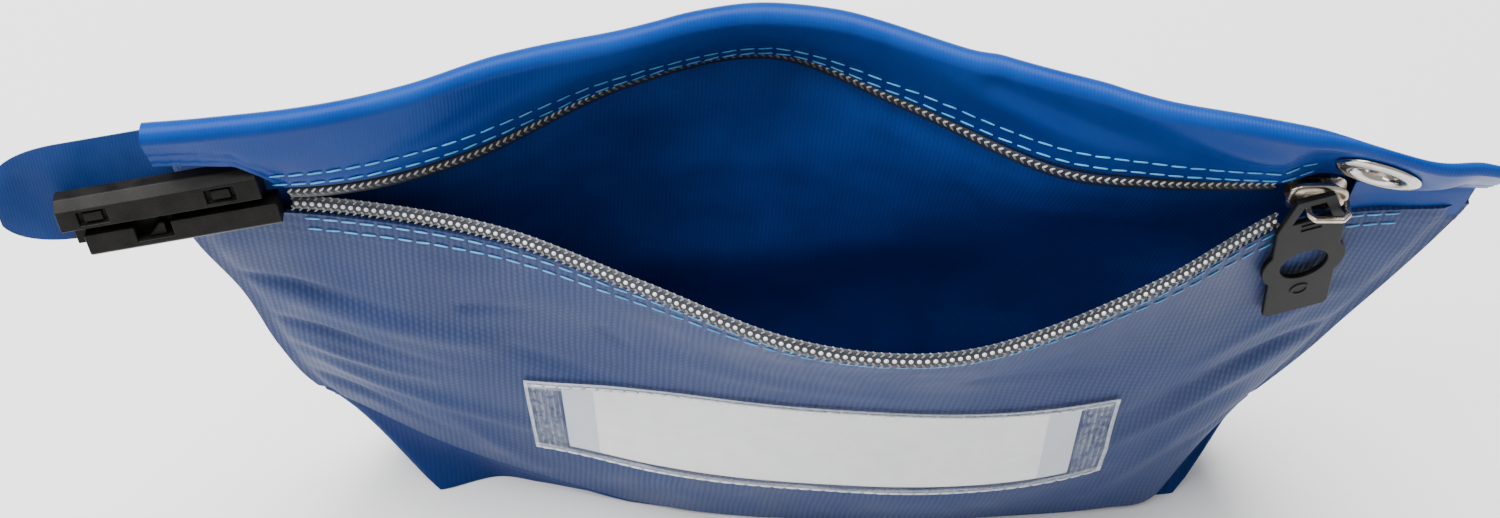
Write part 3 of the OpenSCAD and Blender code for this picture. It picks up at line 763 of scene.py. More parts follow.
def make_materials(colours):
    """Every material, by the name of its finish."""
    twist = (2600.0, 0.5, 0.1)
    return {
        "coated_fabric": cloth(
            "blue coated fabric", tuple(colours.fabric), (0.045, 0.07, 0.18), 1.75, painted_rib_shade=0.8, worn=0.22,
            Specular_IOR_Level=0.14,
        ),
        # The base's outside: a darker, duller copy of the coated fabric, as painted shade on the base.
        "shaded_base_fabric": cloth(
            "blue base fabric painted darker", (0.003, 0.017, 0.1), (0.012, 0.036, 0.16), 1.75, painted_rib_shade=0.4, worn=0.2,
            Specular_IOR_Level=0.06,
        ),
        "lining": cloth(
            "dark lining", (0.006, 0.036, 0.2), (0.012, 0.085, 0.42), 1.2, relief=0.3, rough=(0.4, 0.55),
            Specular_IOR_Level=0.12,
        ),
        "band_fabric": cloth(
            "royal blue fabric", tuple(colours.band), (0.01, 0.07, 0.3), 0.9, broken=0.3, relief=0.2,
            rough=(0.3, 0.45), painted_rib_shade=0.15, worn=0.35, Specular_IOR_Level=0.08,
        ),
        "tongue_fabric": cloth(
            "tongue fabric", (0.003, 0.02, 0.1), (0.02, 0.045, 0.16), 0.9, broken=0.3, relief=0.25, worn=0.5,
            Specular_IOR_Level=0.14,
        ),
        "zip_tape": cloth("zip tape", (0.006, 0.008, 0.016), (0.06, 0.065, 0.08), 1.1, relief=0.8, worn=0.2),
        "zip_coil": grained("coil filament", (0.08, 0.08, 0.08), (0.3, 0.3, 0.3), 0.35, *twist),
        # A near-white copy of the coil filament: painted highlights on the coil's wires.
        "coil_highlight": grained("coil painted highlight", (0.5, 0.5, 0.5), (0.85, 0.85, 0.83), 0.3, *twist),
        "thread": grained("sewing thread", tuple(colours.thread), (0.16, 0.52, 0.9), 0.55, *twist),
        "label_thread": grained("label thread", (0.6, 0.62, 0.65), (0.85, 0.85, 0.85), 0.55, *twist),
        "clear_film": film_material(),
        "card": card_material(),
        "nickel": metal("polished nickel", (0.62, 0.6, 0.56), (0.5, 0.46, 0.4), (0.1, 0.2)),
        "slider_metal": metal("slider nickel", (0.66, 0.6, 0.52), (0.46, 0.37, 0.27), (0.22, 0.34)),
        "moulded_plastic": grained(
            "moulded plastic", (0.003, 0.0028, 0.0025), (0.014, 0.013, 0.012), 0.42, Specular_IOR_Level=0.13,
        ),
        "puller_plastic": grained(
            "satin black plastic", (0.004, 0.004, 0.0042), (0.008, 0.008, 0.009), 0.42, 2400.0, 0.2,
            Specular_IOR_Level=0.08,
        ),
    }


# ---- repeated pieces ----
def repeat_tree():
    """Puts a piece on every point, turned by the point's own directions, and makes real mesh of it."""
    tree = bpy.data.node_groups.new("repeat a piece", "GeometryNodeTree")
    tree.is_modifier = True
    tree.interface.new_socket("Geometry", in_out="OUTPUT", socket_type="NodeSocketGeometry")
    for label, kind in (
        ("Geometry", "Geometry"), ("Piece", "Object"), ("Material", "Material"),
        ("Unevenness", "Float"), ("Seed", "Int"),
    ):
        tree.interface.new_socket(label, in_out="INPUT", socket_type="NodeSocket" + kind)
    i = node(tree, "NodeGroupInput")
    o = node(tree, "NodeGroupOutput")
    vector = {"data_type": "FLOAT_VECTOR"}
    along, out, size = [
        node(tree, "GeometryNodeInputNamedAttribute", {"Name": label}, **vector).outputs["Attribute"]
        for label in ("along", "out", "size")
    ]
    either_way = {"Min": (-1.0, -1.0, -1.0), "Max": (1.0, 1.0, 1.0)}
    random = node(tree, "FunctionNodeRandomValue", either_way, **vector)
    tree.links.new(i.outputs["Seed"], random.inputs["Seed"])
    waver = node(tree, "ShaderNodeVectorMath", {0: random.outputs["Value"]}, operation="SCALE")
    tree.links.new(i.outputs["Unevenness"], waver.inputs["Scale"])
    heading = node(tree, "ShaderNodeVectorMath", {0: along, 1: waver.outputs["Vector"]}, operation="ADD")
    first = node(tree, "FunctionNodeAlignRotationToVector", {"Vector": heading.outputs["Vector"]}, axis="X")
    second = node(
        tree, "FunctionNodeAlignRotationToVector", {"Rotation": first.outputs["Rotation"], "Vector": out},
        axis="Z", pivot_axis="X",
    )
    piece = node(tree, "GeometryNodeObjectInfo", {"Object": i.outputs["Piece"]})
    placed = node(
        tree, "GeometryNodeInstanceOnPoints",
        {"Points": i.outputs["Geometry"], "Instance": piece.outputs["Geometry"],
         "Rotation": second.outputs["Rotation"], "Scale": size},
    )
    real = node(tree, "GeometryNodeRealizeInstances", {"Geometry": placed.outputs["Instances"]})
    painted = node(
        tree, "GeometryNodeSetMaterial",
        {"Geometry": real.outputs["Geometry"], "Material": i.outputs["Material"]},
    )
    tree.links.new(painted.outputs["Geometry"], o.inputs["Geometry"])
    return tree


def lobe(around=8, rings=4, blunt=1.0):
    """A closed rounded piece one unit long, wide and thick."""
    verts, faces = [(-0.5, 0.0, 0.0)], []
    for r in range(1, rings):
        a = math.pi * r / rings
        x = -0.5 * math.cos(a)
        w = 0.5 * math.sin(a) ** blunt
        turns = [2 * math.pi * k / around for k in range(around)]
        verts += [(x, w * math.cos(turn), w * math.sin(turn)) for turn in turns]
    verts.append((0.5, 0.0, 0.0))
    last = len(verts) - 1
    for k in range(around):
        n = (k + 1) % around
        faces.append((0, 1 + n, 1 + k))
        faces.append((last, last - around + k, last - around + n))
        for r in range(rings - 2):
            a, b = 1 + r * around, 1 + (r + 1) * around
            faces.append((a + k, a + n, b + n, b + k))
    mesh = bpy.data.meshes.new("lobe")
    mesh.from_pydata(verts, [], faces)
    shade_smooth(mesh)
    return linked("lobe", mesh)


def repeated(name, rows, piece, mat, unevenness=0.05, seed=3):
    """One mesh of many copies of a piece. rows holds (points, along, out, size) in millimetres."""
    points = np.concatenate([np.asarray(r[0], float) for r in rows]) * MM
    mesh = bpy.data.meshes.new(name)
    mesh.from_pydata(points.tolist(), [], [])
    for label, k in (("along", 1), ("out", 2), ("size", 3)):
        values = np.concatenate([np.broadcast_to(r[k], np.shape(r[0])) for r in rows])
        values = values * MM if label == "size" else values
        attribute = mesh.attributes.new(label, "FLOAT_VECTOR", "POINT")
        attribute.data.foreach_set("vector", values.ravel().astype(np.float32))
    obj = linked(name, mesh)
    mod = obj.modifiers.new("repeat", "NODES")
    tree = bpy.data.node_groups.get("repeat a piece") or repeat_tree()
    mod.node_group = tree
    given = {"Piece": piece, "Material": mat, "Unevenness": unevenness, "Seed": seed}
    for item in tree.interface.items_tree:
        if item.item_type == "SOCKET" and item.in_out == "INPUT" and item.name in given:
            mod[item.identifier] = given[item.name]
    obj.update_tag()
    bpy.context.view_layer.update()
    finish_mesh(obj)
    if len(obj.data.polygons) < 8:
        raise RuntimeError(f"{name} has no repeated pieces")
    return obj


def joined(name, objs):
    """One object out of several that ride together."""
    bm = bmesh.new()
    mats = []
    for o in objs:
        start = len(bm.faces)
        bm.from_mesh(o.data)
        bm.faces.ensure_lookup_table()
        for f in bm.faces[start:]:
            m = o.data.materials[f.material_index]
            if m not in mats:
                mats.append(m)
            f.material_index = mats.index(m)
    mesh = bpy.data.meshes.new(name)
    bm.to_mesh(mesh)
    bm.free()
    for m in mats:
        mesh.materials.append(m)
    for o in objs:
        bpy.data.objects.remove(o)
    return linked(name, mesh)


FINISHES = {}


def finish(name):
    """The material of a finish."""
    if not FINISHES:
        FINISHES.update(make_materials(bpy.context.scene.bag_cloth))
    return FINISHES[name]


def cut_round_eyelet(grid, radius=7.6):
    """The cells of a grid that stay, where the eyelet's hole is left out."""
    middle = (grid[:-1, :-1] + grid[1:, 1:]) / 2
    return np.linalg.norm(middle - EYELET, axis=-1) > radius


# ---- the shell ----
TUCK_RISES = (4.5, 1.5)


def front_panel():
    """From the base fold up to its hem, which is thicker where it is turned in."""
    s, t = np.meshgrid(np.linspace(-1, 1, 241), np.linspace(0, 1, 101), indexing="ij")
    low = fold_z(s) + PANEL_GAP
    high = ZIP_Z - HEM_DROP
    z = low + (high - low) * t
    grid = front_surface(s, z)
    hem = smooth((z - high + 9.6) / 1.2)
    grid[..., 1] += stitch_pull(grid[..., 0], high - z, 0.35, 1.3)
    obj = sheet_object("outer_front", grid, FABRIC + 0.5 * hem, [finish("coated_fabric"), finish("lining")])
    sewn(obj, "coated_fabric", "front_panel")


def back_panel():
    """From the base fold up behind the band, with the eyelet's hole in it."""
    s, t = np.meshgrid(np.linspace(-1, 1, 221), np.linspace(0, 1, 101), indexing="ij")
    low = fold_z(s) + PANEL_GAP
    grid = back_surface(s, low + (BACK_TOP_Z - low) * t)
    obj = sheet_object(
        "outer_back", grid, FABRIC, [finish("lining"), finish("coated_fabric")], there=cut_round_eyelet(grid),
    )
    sewn(obj, "coated_fabric", "back_panel", plane=BACK_PLANE)


def base_gusset():
    """The base folds up at its edges to meet both panels, and climbs to the side seams at its ends."""
    s = np.linspace(-0.996, 0.996, 201)
    zf = fold_z(s) - 0.5 - FABRIC
    left, right = FLOOR_CLIMB
    climb = left * clamp01((-0.95 - s) / 0.05) + right * clamp01((s - 0.96) / 0.04)
    zb = FABRIC / 2 + climb
    xf, xb = x_at(s, zf), x_at(s, zb)
    yf, yr = front_y(s, zf + FABRIC), back_y(s, zf + FABRIC)
    up = clamp01(climb / 30)
    cf = mix(along(FRONT_FLOOR, s), yf + 1, up)
    cr = mix(along(BACK_FLOOR, s), yr - 1, up)
    top = np.maximum(zf, zb + 0.5)
    tuck = FABRIC + PANEL_GAP
    # Rows run from the tuck inside the front, down, across the floor and up to the tuck inside the back.
    rows = [(xf, yf + tuck, top + rise) for rise in TUCK_RISES]
    for t in (0.2, 0.4, 0.6, 0.8):
        sag = 0.8 * math.sin(math.pi * t) * clamp01((top - zb) / 20)
        rows.append((mix(xf, xb, t), mix(yf, cf, t) + sag, mix(top, zb, t)))
    for t in np.linspace(0, 1, 13):
        rows.append((xb, mix(cf, cr, t), zb))
    for t in (0.8, 0.6, 0.4, 0.2):
        rows.append((mix(xf, xb, t), mix(yr, cr, t), mix(top, zb, t)))
    rows += [(xf, yr - tuck, top + rise) for rise in reversed(TUCK_RISES)]
    grid = np.ascontiguousarray(np.stack([np.stack(r, -1) for r in rows], 1)[:, ::-1])
    # The base's outside is the coated fabric painted darker, as painted shade.
    cloths = [finish("shaded_base_fabric"), finish("lining")]
    obj = sheet_object("base_fold", grid, FABRIC, cloths, uv=cloth_uv(grid))
    sewn(obj, "coated_fabric", "base_gusset", plane=BASE_PLANE)


def top_band():
    """Up the front, over a soft roll and a little way down the back."""
    s = np.linspace(-1, 1, 261)
    # At its left end the band stops higher, above the housing.
    hem = ZIP_Z + HEM_DROP + 13.5 * clamp01((-0.82 - s) / 0.06)
    zc = TOP_Z - ROLL_R - 3 * clamp01((s - 0.6) / 0.4) ** 2
    r = layer_gap(s, zc) / 2
    crown = band_surface(s, zc)[..., 1]
    rows = []
    for t in np.linspace(0, 1, 34):
        z = mix(hem, zc, t)
        p = band_surface(s, z)
        p[..., 1] += stitch_pull(p[..., 0], z - hem, 0.3, 1.2)
        rows.append(p)
    for a in np.radians(np.linspace(165, 15, 11)):
        rows.append(np.stack([x_at(s, zc), crown + r + r * math.cos(a), zc + ROLL_R * math.sin(a)], -1))
    for t in np.linspace(0, 1, 16):
        z = mix(zc, BACK_TOP_Z + PANEL_GAP, t)
        y = band_y(s, z) + (crown - band_y(s, zc)) * (1 - t) + layer_gap(s, z)
        rows.append(np.stack([x_at(s, z), y, z], -1))
    grid = np.stack(rows, 1)
    obj = sheet_object(
        "zip_band", grid, FABRIC + 0.1, [finish("band_fabric"), finish("lining")],
        uv=cloth_uv(grid), there=cut_round_eyelet(grid),
    )
    sewn(obj, "band_fabric", "top_band", plane=BAND_PLANE)


def housing_place():
    """The housing's own axes: it hangs on the tail, turned and tipped towards the front."""
    return stood(HOUSING_AT, ("Z", HOUSING_YAW), ("Y", HOUSING_TIP), ("X", HOUSING_ROLL))


def stood(at, *turns):
    """A place with its own axes: turned about each axis in order, in degrees, and moved to a point."""
    place = Matrix.Translation(at)
    for axis, angle in turns:
        place = place @ Matrix.Rotation(math.radians(angle), 4, axis)
    return place


def placed(matrix, grid):
    """A grid of points moved by a matrix."""
    m = np.array(matrix)
    return grid @ m[:3, :3].T + m[:3, 3]


def tail_tab():
    """The tongue beyond the left side seam, hollowed between its outer edge and the housing."""
    x, t = np.meshgrid(np.linspace(-72, -23, 71), np.linspace(0, 1, 41), indexing="ij")
    outline = np.sqrt(np.maximum(0, 1 - clamp01((-50 - x) / 22.5) ** 2.4))
    y = 2.4 + 2.5 * t**3 + 1.1 * np.sin(math.pi * t) * np.sin(math.pi * clamp01((x + 71) / 16))
    z = 7 + mix(-14, 15, t) * (0.25 + 0.75 * outline)
    grid = placed(housing_place(), np.stack([x, y, z], -1))
    obj = sheet_object("tail_tongue", grid, FABRIC, [finish("tongue_fabric")], uv=np.stack([x, z], -1))
    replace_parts(rigid(obj, "bag"), "tail_tab")


PATCH_START, PATCH_BELOW, PATCH_ABOVE = 148.9, 12.0, 7.5


def end_patch():
    """The patch from beyond the slider to the right side seam, over the zip's end."""
    heights = np.linspace(ZIP_Z - PATCH_BELOW, ZIP_Z + PATCH_ABOVE, 27)
    t, z = np.meshgrid(np.linspace(0, 1, 41), heights, indexing="ij")
    x = mix(PATCH_START, x_at(np.full_like(z, 0.992), z), t)
    s = s_at(x, z)
    y = front_y(s, np.minimum(z, ZIP_Z)) + 0.75 + 0.25 * np.sin((x - 150) / 4.5)
    y = mix(y, band_y(s, z) + 0.8, smooth((z - ZIP_Z) / PATCH_ABOVE) * smooth((x - 160) / 14))
    grid = np.stack([x, y, z], -1)
    obj = sheet_object("zip_end_patch_cloth", grid, PATCH, [finish("band_fabric")])
    sewn(obj, "band_fabric", "zip_end_patch")


# ---- the zip ----
COIL_RISE = 2.2
TOOTH_LEAN = 38
# Each line of lobes on a coil: its offset across, which way it leans and how far it stands out.
FRONT_LINES = ((1.4, 1, 0.5), (2.0, -1, 0.45), (-1.4, -1, 0.5), (-2.0, 1, 0.45))
REAR_LINES = ((0.0, -1, 0.6),)
# The rear coil's line of near-white lobes: painted highlights on its wires.
REAR_HIGHLIGHTS = ((0.95, 1, 0.6),)


def zip_path(front, z):
    """The coil's middle line, from the housing to the slider."""
    x = np.linspace(-HALF_ZIP + 5, COIL_END_X, 700)
    s = s_at(x, np.full_like(x, ZIP_Z))
    y = mouth_y(s) - SEAM_GAP if front else rear_y(s) + SEAM_GAP
    return np.stack([x, y, np.full_like(x, z)], -1)


def closed_path(z):
    """The short end of the coil that shows beyond the slider."""
    x = np.linspace(150, 155, 12)
    return np.stack([x, np.full_like(x, 1.5), np.full_like(x, z)], -1)


def spaced(path, pitch, shift=0.0):
    """Points a pitch apart along a path, with the path's direction at each."""
    run = np.concatenate([[0], np.cumsum(np.linalg.norm(np.diff(path, axis=0), axis=1))])
    at = np.arange(pitch / 2 + shift, run[-1] - pitch / 3, pitch)
    back, points, ahead = [
        np.stack([np.interp(at + d, run, path[:, k]) for k in range(3)], 1) for d in (-0.4, 0, 0.4)
    ]
    return points, unit(ahead - back)


def facing(way, rise):
    """The direction that a coil's broad side looks, square to its run, and the one across it."""
    flat = unit(np.stack([way[:, 1], -way[:, 0], np.zeros(len(way))], 1))
    out = flat * math.cos(rise) + np.array([0, 0, 1.0]) * math.sin(rise)
    return out, np.cross(out, way)


def tube(name, path, out, across, wide, thick, mat, sides=10):
    """A closed flattened tube along a path."""
    n = len(path)
    a = (2 * math.pi * np.arange(sides) / sides)[:, None]
    ring = across[:, None] * (wide / 2 * np.cos(a)) + out[:, None] * (thick / 2 * np.sin(a))
    verts = (path[:, None] + ring).reshape(-1, 3)
    faces = [list(range(sides)), list(range(n * sides - 1, (n - 1) * sides - 1, -1))]
    for i in range(n - 1):
        for k in range(sides):
            b = (k + 1) % sides
            faces.append((i * sides + k, i * sides + b, (i + 1) * sides + b, (i + 1) * sides + k))
    return outward(new_object(name, verts, faces, [mat], sharp=60))


def zip_coil(front, settings):
    """Filament lobes in chevrons over a dark core, and a row of near-white lobes that are painted highlights
    on the coil's wires. The front coil is wider, and its row of painted highlights runs down its middle.
    """
    side = "front" if front else "rear"
    z = ZIP_Z + (-COIL_RISE if front else COIL_RISE)
    pitch = settings.tooth_pitch / MM
    rise = math.radians(32 if front else 22)
    size = np.array((1.5, 0.55, 0.6) if front else (1.95, 0.7, 0.6))
    wide = 4.1 if front else 3.5
    row_lines, highlight_lines = (FRONT_LINES, ()) if front else (REAR_LINES, REAR_HIGHLIGHTS)
    piece = lobe()
    # loops gathers the near-white lobes: painted highlights on the coil's wires.
    rows, loops, cores = [], [], []
    for path in (zip_path(front, z), closed_path(z)):
        points, way = spaced(path, 2.0)
        out, across = facing(way, rise)
        cores.append(tube(f"core_{side}", points, out, across, wide, 1.3, finish("zip_tape")))
        points, way = spaced(path, pitch)
        out, across = facing(way, rise)
        for kept, lines in ((rows, row_lines), (loops, highlight_lines)):
            for offset, lean, lift in lines:
                turn = math.radians(lean * TOOTH_LEAN)
                heading = way * math.cos(turn) + across * math.sin(turn)
                kept.append((points + across * offset + out * lift, heading, out, size))
        # On the front, a middle row of near-white lobes paints the highlight on each wire of the coil.
        if front:
            points, way = spaced(path, pitch, pitch / 2)
            out, across = facing(way, rise)
            loops.append((points + out * 0.85, way, out, np.array((1.35, 1.25, 0.95))))
    teeth = repeated(f"teeth_{side}", rows, piece, finish("zip_coil"), 0.05, 5 if front else 6)
    bright = repeated(f"loops_{side}", loops, piece, finish("coil_highlight"), 0.05, 7 if front else 8)
    bpy.data.objects.remove(piece)
    obj = joined(f"coil_{side}", cores + [teeth, bright])
    sewn(obj, "zip_coil", f"zip_coil_{side}")


def zip_tape(front):
    """A tape behind the hem: the front one runs down from the coil, and the rear one up."""
    side = "front" if front else "rear"
    start = -HALF_ZIP + 6
    end = COIL_END_X if front else COIL_END_X - 4
    x, t = np.meshgrid(np.linspace(start, end, 181), np.linspace(0, 1, 17), indexing="ij")
    if front:
        grid, _ = off_surface(front_at, x, 165.6 - 14.2 * t, -0.95 - 0.25 * t)
        grid = np.ascontiguousarray(grid[:, ::-1])
    else:
        grid, _ = off_surface(band_at, x, 174.4 + 9.6 * t, -1.05)
    obj = sheet_object(f"tape_{side}", grid, TAPE, [finish("zip_tape")])
    sewn(obj, "zip_tape", f"zip_tape_{side}", plane=0.0 if front else BAND_PLANE)


def bottom_stop():
    """The metal stop at the housing end of the coils."""
    obj = eased_copy("zip_bottom_stop", "bottom_stop", finish("nickel"), 0.35, 3)
    sewn(obj, "nickel")


# ---- stitching ----
def middles(values):
    """The values half-way between neighbours."""
    return (values[:-1] + values[1:]) / 2


def stitch_row(surface, z, first, last, pitch, out, long=0.86, thick=0.62):
    """A row of stitches at a height: their middles, directions, facings and sizes."""
    mid = middles(np.linspace(first, last, int((last - first) / pitch) + 1))
    (p, n), (a, _), (b, _) = [
        off_surface(surface, mid + step, np.full_like(mid, z), out) for step in (0, -1, 1)
    ]
    # Each stitch climbs a little, as a lockstitch does.
    heading = unit(b - a) + np.array([0, 0, 0.05])
    return p, heading, n, np.array((pitch * long, thick, thick * 0.8))


def hem_stitches(settings):
    """Two rows on each hem, and one down each side seam between the panels."""
    pitch = settings.stitch_pitch / MM
    piece = lobe(8, 6, 0.45)
    low, high = ZIP_Z - HEM_DROP, ZIP_Z + HEM_DROP
    rows = [stitch_row(front_at, low - k, 8 - HALF_ZIP, 165, pitch, 0.72) for k in HEM_ROWS]
    obj = repeated("stitches_front_hem", rows, piece, finish("thread"), 0.04, 11)
    sewn(obj, "thread", "front_hem_thread")
    rows = [stitch_row(band_at, high + k, 2 - HALF_ZIP, 138, pitch, 0.52) for k in HEM_ROWS]
    obj = repeated("stitches_band_hem", rows, piece, finish("thread"), 0.04, 12)
    sewn(obj, "thread", "band_hem_thread", plane=BAND_PLANE)
    mid = middles(np.linspace(52, 156, 23))
    rows = []
    for side in (-0.965, 0.965):
        s = np.full_like(mid, side)
        p = np.stack([x_at(s, mid), (front_y(s, mid) + back_y(s, mid)) / 2, mid], -1)
        rows.append((p, unit(np.gradient(p, axis=0)), np.array([0, -1.0, 0.0]), np.array((4.0, 0.6, 0.6))))
    obj = repeated("stitches_side_seams", rows, piece, finish("thread"), 0.03, 13)
    sewn(obj, "thread", "side_seam_thread")
    bpy.data.objects.remove(piece)


# ---- the label ----
def label_grid(long, low, high, out, nx, nz):
    """Points standing off the front, as long as given, between two heights."""
    xs = np.linspace(LABEL_X - long / 2, LABEL_X + long / 2, nx)
    x, z = np.meshgrid(xs, np.linspace(low, high, nz), indexing="ij")
    grid, n = off_surface(front_at, x, z, out)
    return grid, n, x, z


def label(settings):
    """The card, the film that waves in front of it, and a row of stitches along both long edges."""
    high = LABEL_LOW + LABEL_TALL
    grid, *_ = label_grid(CARD_LONG, LABEL_LOW + CARD_INSET, high - CARD_INSET, 0.85, 91, 31)
    obj = sheet_object("card_insert", grid, CARD, [finish("card")])
    sewn(obj, "card", "label_card")
    grid, n, x, z = label_grid(LABEL_LONG, LABEL_LOW, high, 1.45, 181, 61)
    from_end = LABEL_LONG / 2 - np.abs(x - LABEL_X)
    from_side = LABEL_TALL / 2 - np.abs(z - LABEL_MIDDLE)
    inside = smooth(from_end / 12) * smooth(from_side / 7)
    waves = np.sin(x / 7.3 + 1.2 * np.sin(z / 9)) + 0.7 * np.sin(x / 4.1 + z / 11)
    waves += 0.8 * np.sin(z / 6.5 + x / 33)
    grid = grid + n * (inside * (0.55 + settings.film_wave / MM * 0.35 * waves))[..., None]
    obj = sheet_object("window_film", grid, FILM, [finish("clear_film")])
    sewn(obj, "clear_film", "label_window")
    piece = lobe(8, 5, 0.5)
    reach = LABEL_LONG / 2 - 2
    rows = [
        stitch_row(front_at, z, LABEL_X - reach, LABEL_X + reach, 4.0, 1.95, 0.9, 0.75)
        for z in (LABEL_LOW + 1.4, high - 1.4)
    ]
    obj = repeated("stitches_label", rows, piece, finish("label_thread"), 0.03, 14)
    bpy.data.objects.remove(piece)
    sewn(obj, "label_thread", "label_thread")


# ---- the hard parts ----
def eyelet():
    """The domed flange with its barrel, and the flat ring that it is clenched over at the back."""
    place = stood(EYELET, ("Z", EYELET_YAW), ("X", EYELET_LEAN + 90))
    ring = [
        (5.5, -2.95), (6.1, -2.95), (6.1, 0.9), (8.0, 0.8), (10.2, 0.7), (11.2, 0.7), (11.4, 0.9),
        (11.35, 1.2), (11.1, 1.55), (10.6, 1.85), (9.8, 2.1), (8.8, 2.2), (7.8, 2.15), (6.9, 1.95),
        (6.2, 1.6), (5.75, 1.1), (5.5, 0.5),
    ]
    obj = turned(ring, 72, place, "eyelet_ring", [finish("nickel")])
    sewn(obj, "nickel", "eyelet_flange", plane=BAND_PLANE)
    back = [(6.15, -2.65), (10.9, -2.45), (10.9, -1.95), (10.2, -1.9), (6.15, -2.05)]
    obj = turned(back, 72, place, "eyelet_back_ring", [finish("nickel")])
    sewn(obj, "nickel", "eyelet_washer", plane=BACK_PLANE)


def seal_housing(settings):
    """The lower bar with its back plate, the upper bar and the latch between them."""
    edge = settings.edge_radius / MM
    for cad, name in (
        ("housing_base", "housing_back"), ("housing_cover", "housing_front"),
        ("housing_latch", "housing_wedge"),
    ):
        rigid(eased_copy(cad, name, finish("moulded_plastic"), edge), "bag")


PLATE_LONG, PLATE_WIDE, PLATE_SQUARENESS = 8.5, 5.8, 3.2
PLATE_INNER, PLATE_OUTER, PLATE_DOME = 1.7, 1.75, 1.15
FLANGE = 0.8
PLATE_RINGS = (0.12, 0.3, 0.5, 0.68, 0.82, 0.92, 0.98, 1.0)


def slider_plate(side, place):
    """A domed plate with flanges along its long edges that turn in towards the coils."""
    turns = 64
    a = 2 * math.pi * np.arange(turns) / turns
    ca, sa = np.cos(a), np.sin(a)
    power = PLATE_SQUARENESS
    edge = (np.abs(ca / PLATE_LONG) ** power + np.abs(sa / PLATE_WIDE) ** power) ** (-1 / power)
    nose = 1 - 0.16 * smooth(ca) ** 2 * np.abs(sa)
    flange = FLANGE * smooth((np.abs(sa) - 0.25) / 0.25) * (1 - smooth((ca * edge - 3.5) / 2.5))
    x, z = ca * edge * nose, sa * edge * nose
    inner = np.full(turns, PLATE_INNER)
    outer = np.full(turns, PLATE_OUTER)
    rings = [(rho, outer + PLATE_DOME * (1 - rho**4) ** 0.5) for rho in PLATE_RINGS]
    rings += [(1.0, inner - flange), (0.86, inner - flange), (0.84, inner - 0.01)]
    verts = [np.stack([x * rho, depth, z * rho], -1) for rho, depth in rings]
    verts = np.concatenate(verts + [np.array([[0, PLATE_OUTER + PLATE_DOME, 0], [0, PLATE_INNER - 0.01, 0]])])
    verts[:, 1] *= side
    n = len(rings)
    faces = []
    for k in range(turns):
        b = (k + 1) % turns
        faces.append((n * turns, k, b))
        faces.append((n * turns + 1, (n - 1) * turns + b, (n - 1) * turns + k))
        for r in range(n - 1):
            faces.append((r * turns + k, (r + 1) * turns + k, (r + 1) * turns + b, r * turns + b))
    name = f"plate_{'front' if side < 0 else 'rear'}"
    return outward(new_object(name, placed(place, verts), faces, [finish("slider_metal")], sharp=42))


def axes_along(place, path):
    """A place's own X and Z directions, once for each point of a path."""
    m = np.array(place)[:3, :3]
    return np.broadcast_to(m[:, 0], path.shape), np.broadcast_to(m[:, 2], path.shape)


def slider():
    """Two domed plates joined by a post between the coils, and the arch that the puller hangs on."""
    place = stood((SLIDER_X, 0, ZIP_Z), ("X", SLIDER_ROLL))
    path = placed(place, np.array([(-5.5, y, 0.1) for y in np.linspace(-1.8, 1.8, 5)]))
    across, out = axes_along(place, path)
    post = tube("post", path, out, across, 3.0, 0.3, finish("slider_metal"))
    shell = joined("slider_shell", [slider_plate(-1, place), slider_plate(1, place), post])
    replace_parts(rigid(shell, "slider"), "slider_body")
    rigid(eased_copy("slider_bail", "slider_arch", finish("slider_metal"), 0.6, 4), "slider")


def puller():
    """The flat puller, and its raised ring and lines."""
    black = finish("puller_plastic")
    rigid(eased_copy("puller_tag", "puller", black, 0.4, 4), "puller")
    face = stood(PULLER_AT, ("Z", PULLER_YAW), ("X", PULLER_ROLL), ("Y", PULLER_TIP))
    ring = [(2.0, -0.1), (2.9, -0.1), (2.85, 0.2), (2.45, 0.36), (2.05, 0.2)]
    low = face @ stood((0, 0, -13.5), ("X", 90))
    marks = [turned(ring, 40, low, "raised_ring", [black])]
    for z in (21.4, 18.9):
        path = placed(face, np.array([(x, -0.05, z) for x in np.linspace(-2.9, 2.9, 15)]))
        way, up = axes_along(face, path)
        marks.append(tube("raised_line", path, -np.cross(up, way), up, 0.7, 0.6, black))
    rigid(joined("puller_marks", marks), "puller")


# ---- the stage, in metres ----
FLOOR_HALF = 3.0
CAMERA_AT, CAMERA_TILT, CAMERA_LENS = (-0.0143, -0.2972, 0.6904), 28.0, 52.8
# Each light's place, size and share of the key light's power.
LIGHTS = {
    "key": ((-0.25, 0.35, 1.6), (1.6, 1.0), 1.0),
    "side": ((-1.2, -0.2, 0.9), (0.5, 0.9), 0.12),
}
LIT_POINT = (0, 0, 0.12)


def stage(settings):
    """A pale floor, a plain room, two soft lights and the camera."""
    w = FLOOR_HALF
    floor = bpy.data.meshes.new("floor")
    floor.from_pydata([(-w, -w, 0), (w, -w, 0), (w, w, 0), (-w, w, 0)], [], [(0, 1, 2, 3)])
    pale, *_ = material("pale floor", Base_Color=(0.93, 0.93, 0.93), Roughness=0.9)
    floor.materials.append(pale)
    linked("floor", floor)
    world = bpy.data.worlds.new("soft room")
    world.use_nodes = True
    background = world.node_tree.nodes["Background"].inputs
    background["Color"].default_value = (1.0, 1.0, 1.0, 1.0)
    background["Strength"].default_value = settings.room_light
    bpy.context.scene.world = world
    for name, (place, size, share) in LIGHTS.items():
        lamp = bpy.data.lights.new(name, "AREA")
        lamp.shape = "RECTANGLE"
        lamp.size, lamp.size_y = size
        lamp.energy = settings.key_light * share
        lit = linked(name, lamp)
        lit.location = place
        lit.rotation_euler = (Vector(LIT_POINT) - Vector(place)).to_track_quat("-Z", "Y").to_euler()
    camera = bpy.data.cameras.new("camera")
    camera.sensor_width = 36.0
    camera.lens = CAMERA_LENS
    camera.clip_start = 0.01
    eye = linked("camera", camera)
    eye.location = CAMERA_AT
    eye.rotation_euler = (math.radians(CAMERA_TILT), 0.0, 0.0)
    bpy.context.scene.camera = eye


